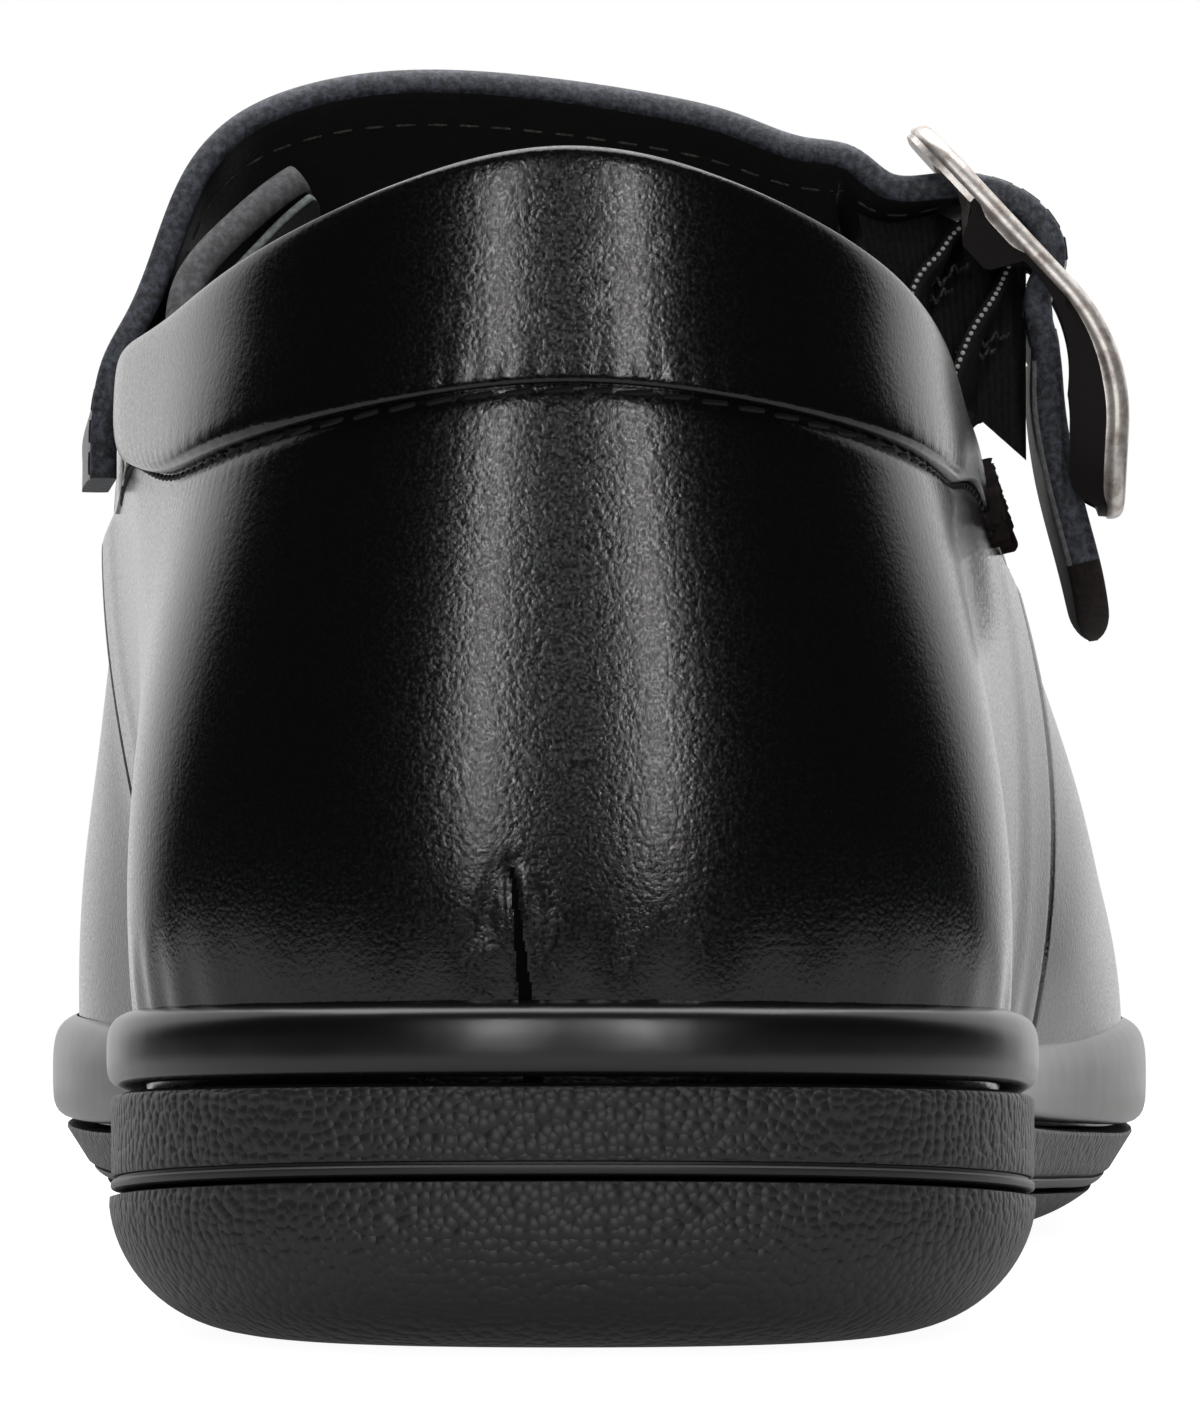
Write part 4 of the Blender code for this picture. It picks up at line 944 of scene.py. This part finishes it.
def make_collar():
    """Padded collar: a full roll outside above the seam, a rounded rim and a flatter roll inside."""
    u = rear_columns(PLAN.find(-1, COLLAR_FRONT_Y) - 1.0, PLAN.find(1, COLLAR_FRONT_Y), 0.3, 0.55)
    row = WALL_FACE.section(u)
    seam = row["collar"][:, None]
    pad = np.clip(row["pad"], 0, 1)[:, None]
    turn = np.linspace(0, math.pi, 44)[None, :]
    share = ((1 - np.cos(turn)) / 2) ** 1.08
    upper = (1 - np.abs(2 * turn / math.pi - 1) ** 2.8) ** (1 / 2.8)
    flush = np.exp(-(row["top_x"] / HEEL_FLAT_REACH) ** 4)[:, None]
    bulge = np.where(turn < math.pi / 2, np.sin(turn) ** (0.6 - 0.3 * flush), upper)
    bulge = bulge * (1 - HEEL_FLATTEN * flush)
    v_out = seam + share * (1 - seam)
    lift_out = QUARTER_STEP - 0.3 * pad * np.exp(-turn / 0.12) + COLLAR_PAD * pad * bulge + 0.12
    place = WALL_FACE.face(u, v_out)
    lift_out = lift_out + creases(place, COLLAR_CREASES)
    above = (v_out - seam) * line_length(u)[:, None]
    run = PLAN.length(u)[:, None]
    lift_out = lift_out + 0.05 * pad * np.abs(np.sin(run * math.pi / STITCH_PITCH)) * np.exp(-above / 1.6)
    rim = np.linspace(0, math.pi, 9)[None, 1:-1]
    rim_out = lift_out[:, -1:]
    rim_in = -WALL + 0.3
    v_rim = 1 + 0.005 * np.sin(rim) + 0 * seam
    lift_rim = (rim_out + rim_in) / 2 + (rim_out - rim_in) / 2 * np.cos(rim)
    back = turn[:, ::-1][:, ::2]
    v_in = seam + (1 - np.cos(back)) / 2 * (1 - seam)
    lift_in = -WALL - COLLAR_LINING * pad * np.sin(back) + 0.3 * smooth(0.8 * math.pi, math.pi, back) - 0.05
    v = np.concatenate([v_out, v_rim, v_in], axis=1)
    lift = np.concatenate([lift_out, lift_rim, lift_in], axis=1)
    if v.shape[1] % 2:
        v = v[:, :-1]
        lift = lift[:, :-1]
    made = piece("collar_pad", loft(WALL_FACE.point(u, v, lift)), [LEATHER], "upper", sharp=60.0)
    return made


STITCH_PITCH = 2.7


def make_stitches(name, path, normal, pitch, length, radius, finish_look, tilt=0.0):
    """Row of stitches: rounded rods a pitch apart along a path, turned by tilt from its run."""
    run = run_of(path)
    at = np.arange(pitch / 2, run[-1], pitch)
    places = np.column_stack([np.interp(at, run, path[:, k]) for k in range(3)])
    along = unit(np.gradient(path, axis=0))
    along = unit(np.column_stack([np.interp(at, run, along[:, k]) for k in range(3)]))
    up = unit(np.column_stack([np.interp(at, run, normal[:, k]) for k in range(3)]))
    side = unit(np.cross(up, along))
    c, s = math.cos(tilt), math.sin(tilt)
    axes = np.stack([c * along + s * side, c * side - s * along, up], axis=1)
    return piece(name, copies(capsule(length, radius), places, axes), [finish_look])


def wall_row(u, v, lift):
    """Path on the upper's wall and its outward directions."""
    low = WALL_FACE.along(u, v, lift)
    return low, unit(WALL_FACE.along(u, v, lift + 1.0) - low)


def make_upper_stitches():
    """Stitches under the collar and along the front edges of the quarters."""
    u = rear_columns(PLAN.find(-1, 92.0) - 1.0, PLAN.find(1, 92.0), 0.5, 0.5)
    seam = WALL_FACE.section(u)["collar"]
    path, normal = wall_row(u, seam - 0.006, QUARTER_STEP - 0.18)
    make_stitches("collar_stitches", path, normal, STITCH_PITCH, 2.0, 0.24, THREAD, 0.1)
    for name, seam_u, side in (("outer", WALL_FACE.seam_outer, -1), ("inner", WALL_FACE.seam_inner, 1)):
        v = np.linspace(0.12, 0.9, 200)
        span = PLAN.length(np.array([seam_u, seam_u + side * 0.001]))
        u = np.full(200, seam_u + side * 0.001 * 1.9 / abs(span[1] - span[0]))
        path, normal = wall_row(u, v, QUARTER_STEP - 0.36)
        make_stitches("seam_stitches_" + name, path, normal, 2.3, 1.8, 0.24, THREAD)
    u = np.linspace(WALL_FACE.seam_outer + 0.004, WALL_FACE.seam_inner + 0.996, 400)
    path, normal = wall_row(u, 1 - 2.6 / line_length(u), -0.15)
    make_stitches("throat_stitches", path, normal, 2.6, 2.0, 0.22, THREAD)


# Strap, tab, elastic

def on_wall(side, band, shares, lift):
    """Rear points on the upper's wall at the given shares of its height, and vectors across the band."""
    shares = np.asarray(shares, float)
    rear = WALL_FACE.along(np.full(len(shares), PLAN.find(side, band[0])), shares, lift)
    front = WALL_FACE.along(np.full(len(shares), PLAN.find(side, band[1])), shares, lift)
    return rear, unit(front - rear)


def band_rows(rows):
    """Rear points and vectors across of a band's table."""
    return rows[:, :3], spread(rows[:, 3], rows[:, 4])


class Band:
    """Flat band along a rear edge: centre line, directions along, across and out, and half-width."""

    def __init__(self, pieces, width, count, tip=0.0):
        rear = np.vstack([part[0] for part in pieces])
        across = np.vstack([part[1] for part in pieces])
        run = run_of(rear)
        at = np.linspace(0, run[-1] - tip, count)
        if tip:
            at = np.append(at, run[-1] - tip + tip * np.sin(np.linspace(0, math.pi / 2, 14))[1:])
        self.run = at
        self.path = spline(run, rear, at)
        self.along = unit(np.gradient(self.path, at, axis=0))
        across = spline(run, across, at)
        self.across = unit(across - np.sum(across * self.along, axis=1)[:, None] * self.along)
        self.out = np.cross(self.along, self.across)
        self.half = np.full(len(at), width / 2)
        if tip:
            past = np.clip((at - run[-1] + tip) / tip, 0, 0.995)
            self.half = self.half * np.sqrt(1 - past ** 2)
        self.centre = self.path + self.across * width / 2

    def at(self, side, lift):
        """Points at places across, given from the middle, and lifts off the middle surface."""
        flat = self.centre[:, None] + side[..., None] * self.across[:, None]
        return flat + lift[..., None] * self.out[:, None]

    def edge(self, inset, lift):
        """Line along the band at an inset from its rear edge, and its outward directions."""
        return self.at(-(self.half - inset)[:, None], np.full((len(self.run), 1), lift))[:, 0], self.out


EDGE_STEPS = 9
FACE_STEPS = 15
BAND_COLUMNS = 2 * (EDGE_STEPS + FACE_STEPS - 2)
TAIL_SWELL = 0.5
TAIL_ROUND = 2.4
TAIL_RAW = 6.0


def band_body(band, thick, groove=0.0, crown=0.12):
    """Closed band: crowned face with stitch grooves, domed edges, flat back; looks marks the three."""
    arc = np.linspace(0, math.pi, EDGE_STEPS)[None, :]
    thick = np.broadcast_to(thick, len(band.run))[:, None]
    dome = np.minimum(0.5 * thick, 0.8 * band.half[:, None])
    flat = band.half[:, None] - 0.55 * dome
    s = np.linspace(1, -1, FACE_STEPS)[None, 1:-1]
    front = flat + 0.55 * dome * np.sin(arc)
    rise = thick / 2 * np.cos(arc) * np.ones_like(flat)
    face_side = -flat * s
    inset = flat - np.abs(flat * s)
    face_lift = thick / 2 + crown * (1 - s ** 2) - groove * np.exp(-((inset - 1.3) / 0.5) ** 2)
    back_lift = -thick / 2 * np.ones_like(face_side)
    side = np.concatenate([-front[:, ::-1], face_side, front, face_side[:, ::-1]], axis=1)
    lift = np.concatenate([rise[:, ::-1], face_lift, rise, back_lift], axis=1)
    grid = band.at(side, lift)
    cols = grid.shape[1]
    body = loft(grid)
    column = np.concatenate([np.ones(EDGE_STEPS - 1), np.zeros(FACE_STEPS - 1), np.ones(EDGE_STEPS - 1),
                             np.full(FACE_STEPS - 1, 2)]).astype(int)
    caps = len(body[1]) - (len(grid) - 1) * cols
    looks = np.concatenate([np.tile(column, len(grid) - 1), np.full(caps, 1)])
    return body, looks


def strap_band():
    """Course of the strap from the inner quarter over the instep and through the buckle to its tail."""
    base = on_wall(-1, STRAP_BASE_Y, (0.87, 0.91, 0.96), STRAP_BASE_LIFT + QUARTER_STEP + STRAP_THICK / 2)
    side = np.full(len(THROUGH), -STRAP_WIDTH / 2)
    turned = spread(THROUGH[:, 2], np.full(len(THROUGH), BUCKLE_TOE_IN))
    inside = BUCKLE.at(THROUGH[:, 0], side, THROUGH[:, 1]), turned
    return Band([base, band_rows(STRAP), inside, band_rows(TAIL)], STRAP_WIDTH, 220, STRAP_TIP)


def make_strap():
    """Strap of leather and lining with inked edges, and stitches along both edges of face and back."""
    band = strap_band()
    swollen = smooth(72.0, 64.0, band.path[:, 2]) * (band.path[:, 0] > 30.0)
    nearing = np.clip(1 - (band.run[-1] - band.run) / TAIL_ROUND, 0, 0.97)
    thick = (STRAP_THICK + TAIL_SWELL * swollen) * np.sqrt(1 - nearing ** 2)
    body, looks = band_body(band, thick, 0.1)
    rows = len(band.run) - 1
    strips = looks[:rows * BAND_COLUMNS].reshape(rows, BAND_COLUMNS)
    tail = (band.path[1:, 0] > 30.0) & (band.path[1:, 2] < 68.0)
    strips[tail, :2] = 3
    strips[band.run[1:] > band.run[-1] - TAIL_RAW, :EDGE_STEPS - 1] = 4
    finishes = [STRAP_LEATHER, EDGE_PAINT, LINING, LINING_EDGE, RAW_END]
    piece("strap_leather", body, finishes, "strap", looks, sharp=60.0)
    keep = band.half > STRAP_WIDTH / 2 - 0.01
    path, normal = band.edge(1.9, STRAP_THICK / 2 - 0.08)
    make_stitches("strap_stitches_face", path[keep], normal[keep], 2.4, 1.8, 0.2, THREAD)
    path, normal = band.edge(5.0, 0.04 - STRAP_THICK / 2)
    make_stitches("strap_stitches_back", path[keep], -normal[keep], 2.4, 1.5, 0.16, PALE_THREAD)


def make_tab():
    """Tab inside the inner topline: a thick ply under the strap and a thin backing ply beside it."""
    depth = WALL + COLLAR_LINING / 2 + JOINT_GAP + TAB_THICK / 2
    base = on_wall(-1, TAB_Y, (0.7, 0.8, 0.9), -depth)
    band = Band([base, band_rows(TAB)], TAB_Y[1] - TAB_Y[0], 70, 1.2)
    body, looks = band_body(band, TAB_THICK + 0.2)
    piece("tab_leather", body, [STRAP_LEATHER, TAB_EDGE, LINING], "strap_tab", looks, sharp=60.0)
    backing = Band([on_wall(-1, TAB_Y, (0.8, 0.9), -depth - TAB_THICK), band_rows(TAB_BACKING)], 9.0, 60, 1.0)
    body, looks = band_body(backing, 0.6)
    piece("tab_backing", body, [LINING, BACKING, LINING], None, looks, sharp=60.0)


def make_elastic():
    """Woven elastic folded round the buckle's bar: ribs along it, pale rubber thread ends on its edge."""
    turn = np.radians(np.linspace(0.0, 180.0, 5))
    side = np.full(len(turn), -ELASTIC_WIDTH / 2)
    runs = BAR_ALONG - ELASTIC_LOOP[0] * np.cos(turn)
    loop = BUCKLE.at(runs, side, ELASTIC_LOOP[1] * np.sin(turn) - BAR_DROP)
    depth = WALL + JOINT_GAP + FIT + ELASTIC_THICK / 2
    outer = on_wall(1, ELASTIC_Y, (0.97, 0.87, 0.76), -depth)
    inner = on_wall(1, ELASTIC_Y, (0.76, 0.87, 0.97), -depth - ELASTIC_THICK - 2 * FIT)
    long_ply = tuple(rows[::-1] for rows in band_rows(ELASTIC_INNER))
    rounds = loop, np.tile(BUCKLE.across, (len(turn), 1))
    band = Band([inner, long_ply, rounds, band_rows(ELASTIC_OUTER), outer], ELASTIC_WIDTH, 220)
    cols = 60
    angle = (np.arange(cols) + 0.5) / cols * 2 * math.pi
    across = np.sign(np.cos(angle)) * np.abs(np.cos(angle)) ** 0.35
    up = np.sign(np.sin(angle)) * np.abs(np.sin(angle)) ** 0.35
    rib = 0.1 * np.cos(across * ELASTIC_WIDTH / 2 * 2 * math.pi / 1.3)
    side = band.half[:, None] * across[None, :]
    lift = (ELASTIC_THICK / 2 - 0.1 + rib)[None, :] * up[None, :] + 0 * side
    piece("elastic_webbing", loft(band.at(side, lift)), [WEBBING], "elastic", sharp=60.0)
    path = band.edge(-0.08, 0.0)[0]
    at = np.arange(0.4, band.run[-1], 0.56)
    places = np.column_stack([np.interp(at, band.run, path[:, k]) for k in range(3)])
    axes = np.broadcast_to(np.eye(3), (len(at), 3, 3))
    piece("elastic_thread_ends", copies(capsule(0.36, 0.17, 6, 5), places, axes), [BEAD])


def make_gusset():
    """Webbing that closes the elastic's fold below the bar: a ribbed sheet spread between four corners."""
    s = np.linspace(0, 1, 30)[:, None, None]
    t = np.linspace(0, 1, 90)[None, :, None]
    high, low = GUSSET[:2], GUSSET[2:]
    sheet = (1 - s) * ((1 - t) * high[0] + t * high[1]) + s * ((1 - t) * low[0] + t * low[1])
    ribs = 0.15 * np.cos(t[..., 0] * 2 * math.pi * 11)
    sheet[..., 1] += ribs + 0.5 * np.sin(s[..., 0] * 5.0 + t[..., 0] * 4.0)
    piece("elastic_gusset", slab(sheet, sheet + np.array([0.0, 0.8, 0.0])), [WEBBING])


def make_fray():
    """Frayed yarn on the gusset: thin zigzags between two points, and a raw end outside the topline."""
    yarns = []
    for start, end, height in FRAYS:
        share = np.linspace(0, 1, 40)[:, None]
        line = (1 - share) * start + share * end
        swing = np.sin(share[:, 0] * 19.0) + 0.6 * np.sin(share[:, 0] * 43.0 + height)
        line[:, 2] += height * swing
        line[:, 1] += 0.3 * np.cos(share[:, 0] * 31.0)
        yarns.append(tube(line, 0.13, 6))
    piece("frayed_yarn", join(yarns), [FRAY])
    u = np.linspace(PLAN.find(1, RAW_END_Y[0]), PLAN.find(1, RAW_END_Y[1]), 40)
    ragged = 0.925 + 0.03 * np.sin(np.arange(40) * 1.7) + 0.02 * np.sin(np.arange(40) * 4.1)
    v = ragged[:, None] + (1.0 - ragged)[:, None] * np.linspace(0, 1, 16)[None, :]
    lump = 0.35 * np.sin(np.arange(40) * 1.1)[:, None] * np.sin(np.arange(16) * 0.9)[None, :]
    outer = WALL_FACE.point(u, v, QUARTER_STEP + 1.1 + lump)
    inner = WALL_FACE.point(u, v, QUARTER_STEP - 0.2)
    piece("elastic_raw_end", slab(outer, inner), [RAW_END], sharp=80.0)


# Buckle

def rail_line(turn, out):
    """Run along and place across of the rail at an angle, from its inner (-1) to its outer (1) line."""
    length = BUCKLE_HALF_LENGTH - RAIL_WIDTH / 2 + out * RAIL_WIDTH / 2
    width = BUCKLE_HALF_WIDTH - RAIL_WIDTH / 2 + out * RAIL_WIDTH / 2
    power = BUCKLE_SQUARENESS
    square = np.abs(np.cos(turn) / length) ** power + np.abs(np.sin(turn) / width) ** power
    reach = square ** (-1 / power)
    return reach * np.cos(turn), reach * np.sin(turn)


def rail_depth(along):
    """Depth of the rail: slight at the strap's end, a lug at the bar, then full and round at the tip."""
    lug = np.clip((2.8 - np.abs(along - BAR_ALONG)) / 1.4, 0, 1)
    full = np.clip((along + 2.0) / 9.0, 0, 1)
    tip = np.sqrt(1 - np.clip((along - 13.0) / 4.6, 0, 0.95) ** 2)
    return RAIL_TOP_DEPTH + (RAIL_DEPTH - RAIL_TOP_DEPTH) * np.maximum(lug, full) * tip


def make_buckle():
    """Cast frame: a deep rail round a bent outline, its outer edge rounded, with the bar; then the prong."""
    turn = (np.arange(240) + 0.5) / 240 * 2 * math.pi
    out, share, lift = (RAIL_PROFILE[:, k:k + 1] for k in (0, 1, 2))
    along, side = rail_line(turn, out)
    low_end = np.clip((along - 11.5) / 2.0, 0, 1) * np.clip((12.4 - np.abs(side)) / 1.4, 0, 1)
    lift = lift - share * rail_depth(along) * (1 - RAIL_END_RELIEF * low_end)
    groove = smooth(1.7, 1.25, np.abs(side)) * (along < -13.0)
    lift = lift + groove * np.minimum(PRONG_GROOVE - lift, 0.0)
    rail = loft(BUCKLE.at(along, side, lift).transpose(1, 0, 2), True)
    deep = (RAIL_PROFILE[:, 1] + np.roll(RAIL_PROFILE[:, 1], -1)) > 0.25
    reach = np.linspace(-1, 1, 12) * (BUCKLE_HALF_WIDTH - RAIL_WIDTH / 2)
    bar = tube(BUCKLE.at(np.full(12, BAR_ALONG), reach, np.full(12, -BAR_DROP)), BAR_RADIUS, 16)
    # The deep part of the rail from just before the bar onwards takes painted shade: a dark, nearly matt
    # finish
    shaded_skirt = deep & (along[0] > BAR_ALONG - 3.2)[:, None]
    looks = np.concatenate([shaded_skirt.ravel(), np.zeros(len(bar[1]), bool)])
    piece("buckle_rail", join([rail, bar]), [NICKEL, PAINTED_SHADE_SKIRT], "buckle_frame", looks, sharp=60.0)
    radius = BAR_RADIUS + FIT + PRONG_RADIUS
    hook = np.radians(np.linspace(0.0, -180.0, 7))
    turned = np.column_stack([BAR_ALONG + radius * np.cos(hook), radius * np.sin(hook) - BAR_DROP])
    route = np.vstack([turned, PRONG_PIN])
    route = spline(run_of(route), route, np.linspace(0, run_of(route)[-1], 60))
    points = BUCKLE.at(route[:, 0], np.zeros(60), route[:, 1])
    piece("prong_pin", tube(points, PRONG_RADIUS, 14), [NICKEL], "buckle_prong", sharp=60.0)


# Studio

FLOOR_RADIUS = 0.24


def make_floor():
    """White table top: a round sheet under the shoe."""
    made, tree, shader, place = finish("white_laminate_floor", "#8c8c8b", Roughness=0.8)
    shader.inputs["Emission Color"].default_value = (1.0, 1.0, 1.0, 1.0)
    seen = add(tree, "LightPath").outputs["Is Camera Ray"]
    glow = add(tree, "MapRange", {"Value": seen, 3: 0.2, 4: 0.95})
    tree.links.new(glow.outputs[0], shader.inputs["Emission Strength"])
    grain = add(tree, "TexNoise", {"Vector": place, "Scale": per_mm(3.0), "Detail": 2.0})
    bump = add(tree, "Bump", {"Strength": 0.1, "Distance": 0.02 * MM, "Height": grain.outputs["Fac"]})
    tree.links.new(bump.outputs[0], shader.inputs["Normal"])
    mesh = bpy.data.meshes.new("floor")
    turn = np.arange(128) / 128 * 2 * math.pi
    rim = np.column_stack([FLOOR_RADIUS * np.cos(turn), FLOOR_RADIUS * np.sin(turn), np.full(128, -0.0002)])
    mesh.from_pydata(rim.tolist(), [], [tuple(range(128))])
    mesh.materials.append(made)
    floor = bpy.data.objects.new("floor", mesh)
    bpy.context.scene.collection.objects.link(floor)


def softbox(name, place, aim, size, power_watts):
    """Rectangular studio light at a place, turned to its aim."""
    light = bpy.data.lights.new(name, "AREA")
    light.shape = "RECTANGLE"
    light.size, light.size_y = size
    light.energy = power_watts
    made = bpy.data.objects.new(name, light)
    place = np.array(place)
    back = unit(place - np.array(aim))
    right = unit(np.cross((0.0, 0.0, 1.0), back)) if abs(back[2]) < 0.99 else np.array([1.0, 0.0, 0.0])
    up = np.cross(back, right)
    matrix = np.eye(4)
    matrix[:3, :3] = np.column_stack([right, up, back])
    matrix[:3, 3] = place
    made.matrix_world = Matrix(matrix.tolist())
    made.visible_camera = False
    bpy.context.scene.collection.objects.link(made)


def make_studio():
    """Two tall strip lights beside the camera, a soft light overhead, and a white sweep beyond the shoe."""
    heel = (0.0, -0.12, 0.05)
    softbox("strip_left", (-0.195, -1.15, 0.3), heel, (0.04, 0.66), 1.9)
    softbox("strip_right", (0.21, -1.15, 0.3), heel, (0.04, 0.66), 2.0)
    softbox("overhead", (0.0, 0.35, 1.5), (0.0, 0.05, 0.0), (2.0, 2.0), 40.0)
    world = bpy.data.worlds.new("white_sweep")
    world.use_nodes = True
    tree = world.node_tree
    ground = tree.nodes["Background"]
    way = add(tree, "TexCoord").outputs["Generated"]
    parts = add(tree, "SeparateXYZ", {0: way})
    slope = {0: parts.outputs["Z"], 1: 1.2, 2: parts.outputs["Y"]}
    higher = add(tree, "Math", slope, operation="MULTIPLY_ADD")
    sweep = add(tree, "MapRange", {"Value": higher.outputs[0], 1: 0.55, 2: 0.95, 3: 0.012, 4: 1.0},
                interpolation_type="SMOOTHSTEP")
    seen = add(tree, "LightPath").outputs["Is Camera Ray"]
    level_seen = add(tree, "Math", {0: sweep.outputs[0], 1: seen}, operation="MAXIMUM")
    tree.links.new(level_seen.outputs[0], ground.inputs["Strength"])
    ground.inputs["Color"].default_value = (1.0, 1.0, 1.0, 1.0)
    bpy.context.scene.world = world


def make_camera():
    """Long lens straight behind the heel, a little above the collar seam, tilted down by a degree."""
    camera = bpy.data.cameras.new("camera")
    camera.sensor_fit = "HORIZONTAL"
    camera.sensor_width = 36.0
    camera.lens = 12544 / 1200 * 36.0
    camera.clip_start = 0.01
    camera.clip_end = 50.0
    made = bpy.data.objects.new("camera", camera)
    made.location = (np.array([2.2, -850.0, 58.85]) - SHIFT) * MM
    made.rotation_euler = (math.pi / 2 - math.atan(220 / 12544), 0.0, 0.0)
    bpy.context.scene.collection.objects.link(made)
    bpy.context.scene.camera = made


make_camera()
make_outsole()
make_midsole()
make_rand()
make_insole()
make_quarters()
make_vamp()
make_lining()
make_collar()
make_upper_stitches()
make_strap()
make_tab()
make_elastic()
make_gusset()
make_fray()
make_buckle()
make_floor()
make_studio()
bpy.context.scene.view_settings.view_transform = "Standard"
